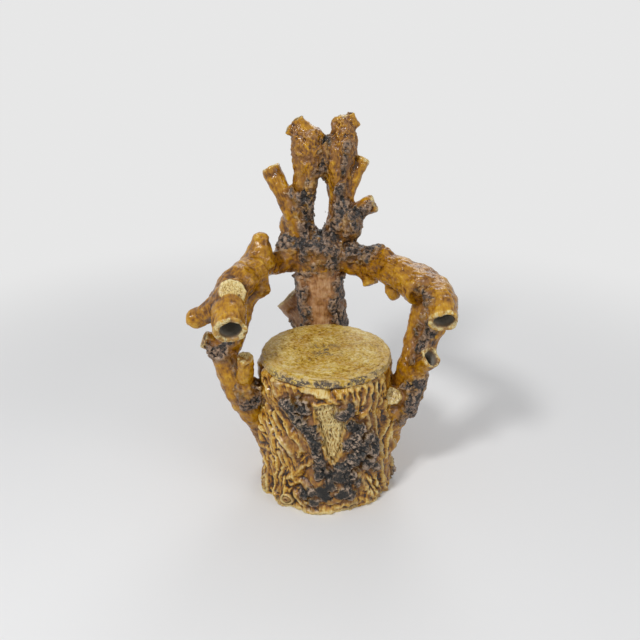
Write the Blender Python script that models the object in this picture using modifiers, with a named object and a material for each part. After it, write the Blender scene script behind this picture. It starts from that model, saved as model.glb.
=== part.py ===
"""Grotto chair of glazed stoneware: a seat on a tree stump, with branches for its arms and back.

It is built as a potter builds it, from hollow clay tubes, slabs, knobs and bark crusts. Each piece is
luted to its neighbour, so it ends in a saddle that fits the neighbour's surface with a small clearance.
Lengths are in metres, +Z is up, and the chair faces -Y. Left is -X, as seen from the front.
"""
from math import atan2, ceil, cos, hypot, radians, sin

import bmesh
import bpy
from mathutils import Vector, noise

# Stump and seat
SEAT_RADIUS = 0.190
SEAT_HEIGHT = 0.435
SEAT_THICKNESS = 0.024
SEAT_EDGE = 0.007
SEAT_OVERHANG = 0.003
STUMP_WALL = 0.024
FOOT_FLARE = 0.010
BARK_RELIEF = 0.0065
BARK_LUMP = 0.075
BARK_RIDGES = 13
CRUST_PROUD = 0.014
BARK_PROUD = 0.009
BAND_WIDTH = 0.060
PATCH_WIDTH = 0.104
HEM_WIDTH = 0.066
BOSS_RADIUS = 0.024
BROW_WIDTH = 0.040
FLAP_WIDTH = 0.038
ROUND_KNOT_RADIUS = 0.018
ROUND_KNOT_PROUD = 0.016
LONG_KNOT_WIDTH = 0.030
RIGHT_ROOT_WIDTH = 0.062
RIGHT_ROOT_PROUD = 0.026
LEFT_ROOT_WIDTH = 0.070
LEFT_ROOT_PROUD = 0.012

# Trunk and crown
TRUNK_RADIUS = 0.064
TRUNK_WALL = 0.018
TRUNK_LEAN = 0.022
CROWN_RISE = 0.215
KNOT_RADIUS = 0.086
TRUNK_STUB_LENGTH = 0.112
TRUNK_STUB_RADIUS = 0.038
TRUNK_STUB_WALL = 0.009

# Three limbs of the back: how far each goes sideways, back and up from the crown
LIMB_WALL = 0.011
LEFT_LIMB_OUT = 0.143
LEFT_LIMB_BACK = 0.030
LEFT_LIMB_RISE = 0.255
LEFT_LIMB_RADIUS = 0.030
MIDDLE_LIMB_OUT = 0.045
MIDDLE_LIMB_BACK = 0.020
MIDDLE_LIMB_RISE = 0.370
MIDDLE_LIMB_RADIUS = 0.042
RIGHT_LIMB_OUT = 0.070
RIGHT_LIMB_BACK = 0.020
RIGHT_LIMB_RISE = 0.400
RIGHT_LIMB_RADIUS = 0.042
BURL_RADIUS = 0.034
NUB_WALL = 0.005
LOW_NUB_LENGTH = 0.020
LOW_NUB_RADIUS = 0.012
HIGH_NUB_LENGTH = 0.016
HIGH_NUB_RADIUS = 0.0155
SPOUT_LENGTH = 0.022
SPOUT_RADIUS = 0.016
UPPER_STUB_LENGTH = 0.103
UPPER_STUB_RADIUS = 0.021
LOWER_STUB_LENGTH = 0.077
LOWER_STUB_RADIUS = 0.025
FORK_CRUST_RADIUS = 0.038
BRIDGE_CRUST_RADIUS = 0.030
LIMB_CRUST_RADIUS = 0.046
SHOULDER_CRUST_RADIUS = 0.042
LIMB_CRUST_PROUD = 0.009

# Left arm; each arm's reach is counted from the seat's radius on
ARM_WALL = 0.013
LEFT_ARM_OUT = 0.045
LEFT_ARM_FORWARD = 0.105
LEFT_ARM_RADIUS = 0.042
LEFT_PIPE_OUT = 0.034
LEFT_PIPE_FORWARD = 0.240
LEFT_PIPE_DROP = 0.070
LEFT_PIPE_RADIUS = 0.046
PIPE_WALL = 0.016
UPRIGHT_LENGTH = 0.070
UPRIGHT_RADIUS = 0.0245
SIDE_KNOB_LENGTH = 0.076
SIDE_KNOB_RADIUS = 0.022
INNER_STUB_LENGTH = 0.030
INNER_STUB_RADIUS = 0.027
ELBOW_SAWN_LENGTH = 0.012
ELBOW_SAWN_RADIUS = 0.038
POST_WALL = 0.012
LEFT_CROTCH_OUT = 0.098
LEFT_CROTCH_FORWARD = 0.028
LEFT_CROTCH_DROP = 0.012
LEFT_UPPER_POST_RADIUS = 0.031
LEFT_LOWER_POST_RADIUS = 0.036
LEFT_POST_STUB_LENGTH = 0.052
LEFT_POST_STUB_RADIUS = 0.029
POST_STUB_WALL = 0.008
LEFT_POST_CRUST_RADIUS = 0.036
LEFT_SAWN_STUB_LENGTH = 0.155
LEFT_SAWN_STUB_RADIUS = 0.025

# Right arm
RIGHT_ARM_OUT = 0.070
RIGHT_ARM_FORWARD = 0.040
RIGHT_ARM_RADIUS = 0.045
RIGHT_PIPE_OUT = 0.080
RIGHT_PIPE_FORWARD = 0.220
RIGHT_PIPE_DROP = 0.060
RIGHT_PIPE_RADIUS = 0.043
UNDER_STUB_LENGTH = 0.024
UNDER_STUB_RADIUS = 0.026
BALL_KNOB_LENGTH = 0.043
BALL_KNOB_RADIUS = 0.023
TOP_KNOB_LENGTH = 0.014
TOP_KNOB_RADIUS = 0.016
RIGHT_CROTCH_OUT = 0.056
RIGHT_CROTCH_FORWARD = 0.030
RIGHT_CROTCH_DROP = 0.043
RIGHT_LOWER_POST_RADIUS = 0.042
RIGHT_INNER_POST_RADIUS = 0.030
RIGHT_OUTER_POST_RADIUS = 0.032
RIGHT_POST_STUB_LENGTH = 0.064
RIGHT_POST_STUB_RADIUS = 0.031
RIGHT_SAWN_STUB_LENGTH = 0.021
RIGHT_SAWN_STUB_RADIUS = 0.027
POST_KNOB_LENGTH = 0.018
POST_KNOB_RADIUS = 0.022
POST_FOOT_DROP = 0.295

# Clay surface, fits and facets
LIMB_RELIEF = 0.0035
LIMB_LUMP = 0.045
CRUST_RELIEF = 0.006
CRUST_LUMP = 0.022
CLEARANCE = 0.0003
OVERRUN = 0.030
STUMP_FACETS = 60
LIMB_FACETS = 10
KNOB_FACETS = 8
STEPS_PER_SPAN = 2

# Stump outline: share of the foot's flare, share of the drum's height
STUMP_OUTLINE_SHARES = (
    (0.0, 1.0), (0.1, 0.86), (-0.4, 0.66), (-0.3, 0.46), (0.2, 0.28), (0.9, 0.12), (0.7, 0.0),
)
# Seat's edge from its top: share of the edge's size inwards, share of it downwards
SEAT_TOP_SHARES = ((1.0, 0.0), (0.25, 0.33), (0.0, 1.0))
# Parts of the bark relief: wandering ridges and broad lumps, and how far the ridges wander
RIDGE_SHARE = 0.55
LUMP_SHARE = 1.0
WANDER_SHARE = 0.30

# Bark pieces on the drum: turn from the front in degrees, share of the seat's height, share of half the width
BAND_SHARES = (
    (-31, 0.84, 0.55), (-28, 0.79, 0.95), (-19, 0.70, 1.0), (-11, 0.58, 0.95), (-4, 0.46, 0.75),
    (0, 0.40, 0.5),
)
PATCH_SHARES = ((20, 0.67, 0.35), (26, 0.60, 0.72), (31, 0.51, 1.0), (37, 0.42, 0.95), (42, 0.35, 0.5))
HEM_SHARES = (
    (-20, 0.14, 0.4), (-12, 0.20, 0.75), (-2, 0.29, 1.0), (10, 0.34, 1.0), (22, 0.335, 0.8), (33, 0.32, 0.45),
)
BROW_SHARES = ((-20, 0.905, 0.4), (-10, 0.90, 0.9), (3, 0.875, 1.0), (14, 0.85, 1.0), (22, 0.82, 0.5))
FLAP_SHARES = ((-27, 0.32, 0.45), (-20, 0.38, 1.0), (-12, 0.44, 0.6))
LONG_KNOT_SHARES = ((-55, -0.02, 0.8), (-55, 0.07, 1.0), (-55, 0.16, 1.0), (-55, 0.25, 0.5))
RIGHT_ROOT_SHARES = ((94, 0.40, 0.85), (84, 0.26, 1.0), (77, 0.11, 1.0), (68, 0.0, 1.1), (52, -0.02, 0.9))
LEFT_ROOT_SHARES = ((-74, 0.10, 0.5), (-64, 0.04, 0.8), (-52, 0.0, 1.0), (-40, -0.01, 0.8))
BOSS_PLACE_SHARES = (14, 0.78)
ROUND_KNOT_PLACE_SHARES = (-33, 0.092)

# Routes of free limbs: shares of the reach sideways, front to back and up, and of the radius
TRUNK_SHARES = (
    (0.0, 1.02, -0.04, 1.35),
    (0.1, 1.01, 0.12, 1.10),
    (0.3, 1.0, 0.35, 1.0),
    (0.45, 1.0, 0.62, 1.02),
    (0.9, 1.0, 0.82, 0.98),
    (1.0, 1.0, 1.0, 0.95),
)
LEFT_LIMB_SHARES = (
    (-0.20, 0.0, -0.02, 1.15),
    (-0.46, -0.33, 0.31, 1.06),
    (-0.60, -0.17, 0.55, 0.97),
    (-0.79, 0.23, 0.77, 0.95),
    (-1.0, 0.85, 1.0, 0.99),
)
MIDDLE_LIMB_SHARES = (
    (-0.50, 0.35, 0.05, 0.87),
    (-0.92, 0.65, 0.30, 0.84),
    (-1.05, 0.65, 0.45, 0.95),
    (-0.90, 0.35, 0.61, 1.02),
    (-0.68, 0.0, 0.80, 1.06),
    (-0.72, -0.15, 0.92, 1.15),
    (-0.74, -0.15, 0.98, 0.92),
    (-0.76, -0.15, 1.01, 0.40),
)
RIGHT_LIMB_SHARES = (
    (0.30, 0.25, 0.05, 1.04),
    (0.85, 0.35, 0.26, 1.02),
    (0.97, 0.55, 0.41, 0.92),
    (0.84, 0.75, 0.55, 0.90),
    (0.87, 0.75, 0.68, 0.99),
    (0.99, 0.75, 0.80, 1.06),
    (1.06, 0.75, 0.91, 0.85),
    (0.92, 0.75, 0.98, 0.52),
    (0.87, 0.75, 1.012, 0.26),
)
LEFT_ARM_SHARES = (
    (-0.12, 0.0, -0.08, 0.97),
    (-0.44, -0.08, -0.50, 0.87),
    (-0.65, -0.25, -0.33, 0.90),
    (-0.80, -0.49, -0.19, 1.0),
    (-0.88, -0.70, -0.20, 1.04),
    (-0.93, -0.86, -0.30, 0.92),
)
LEFT_PIPE_SHARES = (
    (0.50, 0.0, 0.03, 0.86),
    (-0.45, -0.21, 0.04, 0.98),
    (-1.10, -0.42, -0.31, 1.10),
    (-1.05, -0.67, -0.63, 1.02),
    (-0.66, -0.96, -1.0, 0.94),
)
RIGHT_ARM_SHARES = (
    (0.18, 0.0, -0.20, 0.97),
    (0.49, -0.11, -0.66, 0.92),
    (0.69, -0.33, -0.42, 0.98),
    (0.84, -0.59, -0.22, 1.06),
    (0.96, -0.80, -0.35, 1.12),
    (1.01, -0.95, -0.50, 1.08),
    (1.03, -1.05, -0.62, 0.84),
    (1.04, -1.10, -0.68, 0.45),
)
RIGHT_PIPE_SHARES = (
    (0.10, 0.0, 0.05, 0.86),
    (0.60, -0.18, 0.0, 1.0),
    (0.91, -0.41, -0.12, 1.0),
    (1.0, -0.68, -0.36, 1.0),
    (0.98, -0.95, -0.86, 0.96),
)

# Routes of posts between two ends: share of the way, then outward, forward and full radius as shares of it
LEFT_LOWER_POST_SHARES = (
    (0.0, 0.0, 0.0, 1.20), (0.37, 0.3, 0.4, 1.05), (0.68, 0.5, 0.45, 1.0), (1.0, 0.0, 0.0, 0.96),
)
LEFT_UPPER_POST_SHARES = (
    (0.0, 0.0, 0.0, 1.0), (0.25, -0.3, 0.15, 1.0), (0.5, -0.2, 0.15, 1.0), (0.7, -0.4, 0.0, 1.08),
    (1.0, 0.0, 0.0, 1.0),
)
RIGHT_LOWER_POST_SHARES = (
    (0.0, 0.0, 0.0, 0.98), (0.35, -0.1, 0.23, 1.04), (0.61, -0.06, 0.28, 1.06), (0.86, 0.0, 0.15, 0.97),
    (1.0, 0.0, 0.0, 0.85),
)
RIGHT_INNER_POST_SHARES = (
    (0.0, 0.0, 0.0, 1.12), (0.25, -0.1, 0.07, 1.0), (0.47, 0.05, -0.17, 0.94), (0.73, 0.27, -0.34, 0.95),
    (1.0, 0.0, 0.0, 0.95),
)
RIGHT_OUTER_POST_SHARES = (
    (0.0, 0.0, 0.0, 1.05), (0.31, 0.5, -0.1, 1.03), (0.47, 0.6, -0.1, 0.94), (0.63, 0.6, 0.0, 0.95),
    (1.0, 0.0, 0.0, 0.95),
)

# Where a piece starts on the route of the limb that carries it: share of that route
LEFT_PIPE_START_SHARE = 0.76
LEFT_POST_TOP_SHARE = 0.70
RIGHT_PIPE_START_SHARE = 0.57
RIGHT_INNER_POST_TOP_SHARE = 0.22
RIGHT_OUTER_POST_TOP_SHARE = 0.66

# Stubs and knobs: share of the parent's route, and the way they point
STUB_PLACE_SHARES = {
    "trunk_hollow_stub": (0.54, (-0.67, 0.19, 0.72)),
    "middle_limb_nub_low": (0.72, (-0.9, -0.1, 0.42)),
    "middle_limb_nub_high": (0.74, (-0.47, 0.0, 0.88)),
    "right_limb_spout": (0.72, (0.45, 0.0, 0.89)),
    "right_limb_stub_upper": (0.23, (0.46, 0.15, 0.87)),
    "right_limb_stub_lower": (0.125, (0.91, -0.06, 0.40)),
    "left_arm_upright_stub": (0.54, (0.13, 0.0, 0.99)),
    "left_arm_ball_knob": (0.63, (-0.90, 0.0, -0.43)),
    "left_arm_sawn_stub": (0.46, (0.18, -0.92, 0.36)),
    "left_arm_inner_stub": (0.74, (0.55, -0.35, -0.75)),
    "left_post_hollow_stub": (0.12, (-0.85, -0.2, 0.49)),
    "left_post_sawn_stub": (0.42, (0.06, -0.29, 0.96)),
    "right_arm_under_stub": (0.19, (0.2, -0.46, -0.86)),
    "right_arm_ball_knob": (0.43, (0.03, -0.3, -0.95)),
    "right_arm_top_knob": (0.37, (0.0, 0.1, 0.99)),
    "right_post_hollow_stub": (0.95, (0.45, -0.6, 0.66)),
    "right_post_sawn_stub": (0.52, (-0.5, -0.75, 0.43)),
    "right_post_knob": (0.3, (-0.2, -0.9, 0.3)),
}
# Crust along a limb: shares of the limb's route where it starts and ends, the way it faces, its half width
CRUST_STRIP_SHARES = {
    "trunk_crust_left": (0.54, 0.86, (-1.0, -0.1, 0.0), 0.8),
    "trunk_crust_right": (0.54, 0.86, (1.0, -0.1, 0.0), 0.8),
    "middle_limb_crust": (0.10, 0.50, (0.85, -0.5, 0.0), 0.85),
    "right_post_crust": (0.0, 0.8, (0.85, -0.5, 0.1), 0.75),
    "right_post_lower_crust": (0.3, 0.92, (0.75, -0.6, 0.2), 1.0),
    "crown_crust_right": (0.02, 0.29, (0.0, -0.35, 0.9), 0.95),
}
# Lumps on a limb: share of its route, and the way off its axis as shares of its radius
LUMP_PLACE_SHARES = {
    "left_limb_burl": (0.22, (-1.0, 1.0, 0.25)),
    "right_limb_crust": (0.11, (0.7, -0.5, -0.2)),
    "left_post_crust": (0.62, (1.0, -0.33, 0.0)),
    "crown_crust_left": (0.14, (0.0, 0.0, 1.0)),
}
# Half widths of lumps, as shares of their radius
LUMP_SIZE_SHARES = {
    "crown_knot": (1.08, 0.85, 0.84),
    "left_limb_burl": (0.85, 1.0, 1.5),
    "fork_crust": (0.8, 0.9, 1.35),
    "limb_bridge_crust": (0.7, 0.95, 1.75),
    "right_limb_crust": (1.0, 0.9, 1.1),
    "left_post_crust": (1.0, 0.9, 1.2),
    "crown_crust_left": (1.1, 1.0, 0.8),
    "stump_crust_boss": (1.0, 0.8, 0.9),
}
# Crusts between two limbs: share of the first one's route, share of the second one's
FORK_SHARES = (0.5, 0.3)
BRIDGE_SHARES = (0.58, 0.57)

# Stubs and knobs: share of the way from the parent's axis to the tip, share of the radius
SAWN_SHARES = ((0.0, 1.15), (0.5, 1.0), (0.85, 0.96), (1.0, 1.0))
ROUND_SHARES = ((0.0, 1.15), (0.45, 1.06), (0.75, 0.95), (0.92, 0.68), (1.0, 0.25))
BALL_SHARES = ((0.0, 0.8), (0.5, 0.75), (0.64, 0.95), (0.8, 1.0), (0.93, 0.7), (1.0, 0.25))
CONE_SHARES = ((0.0, 1.9), (0.45, 1.5), (0.68, 1.15), (0.84, 1.0), (0.95, 0.75), (1.0, 0.3))
TAPER_SHARES = ((0.0, 1.6), (0.4, 1.3), (0.7, 1.05), (1.0, 1.0))
# Crust along a limb: share of the crust's length, share of its full radius
STRIP_TAPER_SHARES = ((0.0, 0.55), (0.2, 0.9), (0.5, 1.0), (0.8, 0.92), (1.0, 0.55))
BLIND_END_SHARE = 0.80
LEAST_GIRTH_SHARE = 0.35
CORNER_SHARE = 1.2

# Colours as seen in the photo: red, green, blue; then roughness
AMBER = ((0.42, 0.22, 0.035), 0.22)
CRUST = ((0.075, 0.052, 0.040), 0.55)
CREAM = ((0.62, 0.50, 0.26), 0.45)
SEAT_OCHRE = ((0.48, 0.33, 0.09), 0.35)
UMBER = ((0.20, 0.11, 0.06), 0.35)


# Scene

for leftover in list(bpy.data.objects):
    bpy.data.objects.remove(leftover)


def new_collection(name):
    """A collection linked to the scene."""
    group = bpy.data.collections.new(name)
    bpy.context.scene.collection.children.link(group)
    return group


PARTS = new_collection("grotto_chair")
CUTTERS = new_collection("grotto_chair_fits")
fits = {}


# Routes

def between(before, start, end, after, share):
    """Smooth value between start and end, where before and after are the next values out."""
    linear = (end - before) * share
    square = (2 * before - 5 * start + 4 * end - after) * share ** 2
    cube = (3 * start - before - 3 * end + after) * share ** 3
    return (2 * start + linear + square + cube) / 2


def on_route(route, share):
    """Centre and radius on a route, at a share of its spans."""
    spans = len(route) - 1
    place = share * spans
    span = min(int(place), spans - 1)
    rows = [route[min(max(span + step, 0), spans)] for step in (-1, 0, 1, 2)]
    centre = between(*(row[0] for row in rows), place - span)
    radius = between(*(row[1] for row in rows), place - span)
    return centre, max(radius, LEAST_GIRTH_SHARE * min(rows[1][1], rows[2][1]))


def stretch_of(route, low, high, steps_per_span=STEPS_PER_SPAN):
    """The part of a route between two shares of it, in even steps."""
    steps = max(2, ceil((high - low) * (len(route) - 1) * steps_per_span))
    return [on_route(route, low + (high - low) * step / steps) for step in range(steps + 1)]


def free_route(start, reach, radius, shares):
    """Route of a limb that leaves start and ends free."""
    return [(start + Vector((x * reach[0], y * reach[1], z * reach[2])), girth * radius)
            for x, y, z, girth in shares]


def held_route(start, end, side, radius, shares):
    """Route of a post held at both ends; side is -1 on the left and 1 on the right."""
    return [(start.lerp(end, along) + Vector((side * out, -forward, 0)) * radius, girth * radius)
            for along, out, forward, girth in shares]


def on_drum(turn, height, out):
    """Point at a turn from the front in degrees, out from the drum's mean surface."""
    radius = SEAT_RADIUS - SEAT_OVERHANG + out
    return Vector((radius * sin(radians(turn)), -radius * cos(radians(turn)), height))


def drum_route(shares, width):
    """Route of a bark piece that lies on the drum."""
    return [(on_drum(turn, height * SEAT_HEIGHT, 0), girth * width / 2) for turn, height, girth in shares]


# Forms

def new_object(name, mesh, group):
    """An object at the world's origin."""
    item = bpy.data.objects.new(name, mesh)
    group.objects.link(item)
    return item


def as_triangles(mesh):
    """Split every face, so that moved corners leave no bent face."""
    cage = bmesh.new()
    cage.from_mesh(mesh)
    bmesh.ops.triangulate(cage, faces=cage.faces)
    cage.to_mesh(mesh)
    cage.free()
    mesh.update()


def tube_form(name, rows, facets):
    """Closed tube through rows of centre and radius, with flat ends."""
    curve = bpy.data.curves.new(name, "CURVE")
    curve.dimensions = "3D"
    curve.bevel_depth = 1
    curve.bevel_resolution = (facets - 4) // 2
    curve.use_fill_caps = True
    spline = curve.splines.new("POLY")
    spline.points.add(len(rows) - 1)
    for point, (centre, radius) in zip(spline.points, rows):
        point.co = (*centre, 1)
        point.radius = radius
    guide = new_object(name + "_route", curve, PARTS)
    graph = bpy.context.evaluated_depsgraph_get()
    mesh = bpy.data.meshes.new_from_object(guide.evaluated_get(graph))
    cage = bmesh.new()
    cage.from_mesh(mesh)
    bmesh.ops.remove_doubles(cage, verts=cage.verts, dist=CLEARANCE / 10)
    cage.to_mesh(mesh)
    cage.free()
    form = new_object(name, mesh, PARTS)
    form.matrix_world = guide.matrix_world
    bpy.data.objects.remove(guide)
    bpy.data.curves.remove(curve)
    return form


def ball_form(name, centre, size, splits):
    """Round lump of clay; size holds its three half widths."""
    cage = bmesh.new()
    bmesh.ops.create_icosphere(cage, subdivisions=splits, radius=1)
    for corner in cage.verts:
        corner.co = Vector(centre) + Vector([x * half for x, half in zip(corner.co, size)])
    mesh = bpy.data.meshes.new(name)
    cage.to_mesh(mesh)
    cage.free()
    return new_object(name, mesh, PARTS)


def roughen(form, relief, lump):
    """Push the surface in and out in lumps, and leave sharp edges nearly in place."""
    cage = bmesh.new()
    cage.from_mesh(form.data)
    cage.normal_update()
    pushes = []
    for corner in cage.verts:
        flatness = min(corner.normal.dot(face.normal) for face in corner.link_faces)
        pushes.append(corner.normal * max(flatness, 0) * relief * noise.noise(corner.co / lump))
    for corner, push in zip(cage.verts, pushes):
        corner.co += push
    cage.to_mesh(form.data)
    cage.free()
    as_triangles(form.data)


def bounds(item):
    """Lowest and highest corner of a mesh."""
    columns = list(zip(*(corner.co for corner in item.data.vertices)))
    return [min(column) for column in columns], [max(column) for column in columns]


def meets(box, other):
    """True if two boxes share space."""
    return all(box[0][axis] <= other[1][axis] and other[0][axis] <= box[1][axis] for axis in range(3))


def grown(form, name, amount):
    """Copy of a form among the cutters, grown all round."""
    cutter = new_object(name, form.data.copy(), CUTTERS)
    pushes = [corner.normal * amount for corner in cutter.data.vertices]
    for corner, push in zip(cutter.data.vertices, pushes):
        corner.co += push
    cutter.hide_render = True
    cutter.display_type = "WIRE"
    return cutter


def keep_fit(form, clearance=CLEARANCE):
    """Keep a copy of a form, grown by the clearance, that later pieces are cut to."""
    cutter = grown(form, form.name + "_fit", clearance * CORNER_SHARE)
    fits[form.name] = (cutter, bounds(cutter))


def settle(piece):
    """Turn a piece's modifiers into mesh, and drop crumbs that a cut left loose."""
    graph = bpy.context.evaluated_depsgraph_get()
    mesh = bpy.data.meshes.new_from_object(piece.evaluated_get(graph))
    spare = piece.data
    piece.modifiers.clear()
    piece.data = mesh
    bpy.data.meshes.remove(spare)
    cage = bmesh.new()
    cage.from_mesh(mesh)
    bodies = []
    waiting = set(cage.verts)
    while waiting:
        body = {waiting.pop()}
        edge_of_body = list(body)
        while edge_of_body:
            corner = edge_of_body.pop()
            found = {edge.other_vert(corner) for edge in corner.link_edges} - body
            body |= found
            edge_of_body.extend(found)
        waiting -= body
        bodies.append(body)
    crumbs = [corner for body in sorted(bodies, key=len)[:-1] for corner in body]
    bmesh.ops.delete(cage, geom=crumbs, context="VERTS")
    cage.to_mesh(mesh)
    cage.free()


def cut(piece, cutters, operation="DIFFERENCE"):
    """Take the cutters' space out of a piece, or keep only that space."""
    for cutter in cutters:
        modifier = piece.modifiers.new("cut", "BOOLEAN")
        modifier.operation = operation
        modifier.object = cutter
    settle(piece)


def bore_form(name, route, wall, low=0, high=1):
    """Cutter for a tube's hollow; an end at 0 or 1 runs on past the tube's own."""
    rows = [(centre, max(radius - wall, LEAST_GIRTH_SHARE * radius))
            for centre, radius in stretch_of(route, low, high, 1)]
    if low == 0:
        rows.insert(0, (rows[0][0] + (rows[0][0] - rows[1][0]).normalized() * OVERRUN, rows[0][1]))
    if high == 1:
        rows.append((rows[-1][0] + (rows[-1][0] - rows[-2][0]).normalized() * OVERRUN, rows[-1][1]))
    bore = tube_form(name + "_bore", rows, KNOB_FACETS)
    PARTS.objects.unlink(bore)
    CUTTERS.objects.link(bore)
    return bore


def glaze(piece, finish):
    """Give a piece its own glaze."""
    colour, roughness = finish
    material = bpy.data.materials.new(piece.name + "_glaze")
    material.use_nodes = True
    shader = material.node_tree.nodes["Principled BSDF"]
    shader.inputs["Base Color"].default_value = (*colour, 1)
    shader.inputs["Roughness"].default_value = roughness
    shader.inputs["Metallic"].default_value = 0
    piece.data.materials.clear()
    piece.data.materials.append(material)
    piece.data.shade_smooth()
    piece.data.set_sharp_from_angle(angle=radians(40))


def fit_piece(form, finish, bores=()):
    """Cut a form to every earlier piece that it meets, hollow it, and keep its own fit."""
    box = bounds(form)
    neighbours = [cutter for cutter, its_box in fits.values() if meets(box, its_box)]
    keep_fit(form)
    cut(form, [*neighbours, *bores])
    for bore in bores:
        bpy.data.objects.remove(bore)
    glaze(form, finish)
    return form


def limb(name, route, finish, wall, high=1):
    """Clay tube along a route, hollow from its start to high, a share of its route."""
    form = tube_form(name, stretch_of(route, 0, 1), LIMB_FACETS)
    roughen(form, LIMB_RELIEF, LIMB_LUMP)
    fit_piece(form, finish, [bore_form(name, route, wall, 0, high)])


def stub(name, parent, length, radius, shape, finish, wall=None):
    """Cut branch or knob that stands proud of its parent, hollow if it has a wall."""
    share, way = STUB_PLACE_SHARES[name]
    root, parent_radius = on_route(parent, share)
    reach = Vector(way).normalized() * (parent_radius + length)
    route = [(root + along * reach, girth * radius) for along, girth in shape]
    form = tube_form(name, route, KNOB_FACETS)
    roughen(form, LIMB_RELIEF / 2, LIMB_LUMP)
    fit_piece(form, finish, [] if wall is None else [bore_form(name, route, wall, 0, 1)])


def skin(name, rows, carrier, proud, relief, finish):
    """Bark of even thickness on its carrier, within the tube that the rows give."""
    form = tube_form(name, rows, KNOB_FACETS)
    roughen(form, relief, CRUST_LUMP)
    cover = grown(fits[carrier][0], name + "_cover", proud)
    roughen(cover, relief, CRUST_LUMP)
    cut(form, [cover], "INTERSECT")
    bpy.data.objects.remove(cover)
    as_triangles(form.data)
    fit_piece(form, finish)


def crust_strip(name, carrier, route):
    """Bark crust on one side of a limb, between two shares of its route."""
    low, high, side, girth_share = CRUST_STRIP_SHARES[name]
    rows = []
    for along, girth in STRIP_TAPER_SHARES:
        centre, radius = on_route(route, low + (high - low) * along)
        rows.append((centre + Vector(side).normalized() * radius, radius * girth_share * girth))
    skin(name, rows, carrier, LIMB_CRUST_PROUD, CRUST_RELIEF / 2, CRUST)


def crust_lump(name, centre, radius, finish, splits=2):
    """Lump of clay or bark pressed into a joint."""
    form = ball_form(name, centre, [radius * share for share in LUMP_SIZE_SHARES[name]], splits)
    roughen(form, CRUST_RELIEF, CRUST_LUMP)
    fit_piece(form, finish)


def lump_on(name, route, radius, finish):
    """Lump on the side of a limb."""
    share, way = LUMP_PLACE_SHARES[name]
    place, limb_radius = on_route(route, share)
    crust_lump(name, place + Vector(way) * limb_radius, radius, finish)


def middle_of(first, second, shares):
    """Point half way between two limbs."""
    return (on_route(first, shares[0])[0] + on_route(second, shares[1])[0]) / 2


# Floor, which trims every foot flat

def floor_fit():
    """Block under the floor; every piece that reaches below it is cut flat."""
    cage = bmesh.new()
    bmesh.ops.create_cube(cage, size=1)
    side = 8 * SEAT_RADIUS
    for corner in cage.verts:
        corner.co = Vector((corner.co.x * side, corner.co.y * side, (corner.co.z - 1 / 2) * SEAT_HEIGHT))
    mesh = bpy.data.meshes.new("floor")
    cage.to_mesh(mesh)
    cage.free()
    block = new_object("floor", mesh, CUTTERS)
    keep_fit(block, 0)
    bpy.data.objects.remove(block)


# Stump and seat

def bark(angle, height):
    """How far the drum's bark stands in or out at an angle and height."""
    around = Vector((cos(angle), sin(angle), 0)) * SEAT_RADIUS
    lumps = noise.noise((around + Vector((0, 0, height))) / BARK_LUMP)
    wander = WANDER_SHARE * noise.noise((around - Vector((0, 0, height))) / (2 * BARK_LUMP))
    ridges = sin(BARK_RIDGES * (angle + wander))
    return BARK_RELIEF * (LUMP_SHARE * lumps + RIDGE_SHARE * ridges)


def turned_form(name, outline, closed):
    """Turn an outline round the stump's axis; a closed one makes a ring, an open one a solid."""
    count = len(outline)
    edges = [(index, (index + 1) % count) for index in range(count if closed else count - 1)]
    mesh = bpy.data.meshes.new(name)
    mesh.from_pydata([(radius, 0, height) for radius, height in outline], edges, [])
    form = new_object(name, mesh, PARTS)
    screw = form.modifiers.new("turn", "SCREW")
    screw.axis = "Z"
    screw.steps = STUMP_FACETS
    screw.render_steps = STUMP_FACETS
    screw.use_merge_vertices = True
    screw.merge_threshold = CLEARANCE / 10
    settle(form)
    return form


def carve_bark(form, least_radius):
    """Push a turned form's outer side in and out, beyond the least radius."""
    for corner in form.data.vertices:
        radius = hypot(corner.co.x, corner.co.y)
        if radius > least_radius:
            stretch = 1 + bark(atan2(corner.co.y, corner.co.x), corner.co.z) / radius
            corner.co.x *= stretch
            corner.co.y *= stretch
    as_triangles(form.data)


def make_stump():
    """Hollow drum of bark, and the round slab of the seat on it."""
    height = SEAT_HEIGHT - SEAT_THICKNESS - CLEARANCE
    radius = SEAT_RADIUS - SEAT_OVERHANG
    inner = radius - STUMP_WALL
    side = [(radius + flare * FOOT_FLARE, share * height) for flare, share in STUMP_OUTLINE_SHARES]
    wall = turned_form("stump_wall", [*side, (inner, 0), (inner, height)], True)
    carve_bark(wall, inner + STUMP_WALL / 2)
    glaze(wall, AMBER)
    plug = turned_form("drum", [(0, height), *side, (0, 0)], False)
    carve_bark(plug, inner)
    keep_fit(plug)
    bpy.data.objects.remove(plug)


def make_seat():
    """Round slab with a worn edge, laid on the drum."""
    bottom = SEAT_HEIGHT - SEAT_THICKNESS
    rim = [(SEAT_RADIUS - inwards * SEAT_EDGE, SEAT_HEIGHT - down * SEAT_EDGE)
           for inwards, down in SEAT_TOP_SHARES]
    rim.append((SEAT_RADIUS, bottom + SEAT_EDGE / 2))
    rim.append((SEAT_RADIUS - SEAT_EDGE / 2, bottom))
    slab = turned_form("seat_slab", [(0, SEAT_HEIGHT), *rim, (0, bottom)], False)
    fit_piece(slab, SEAT_OCHRE)


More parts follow.
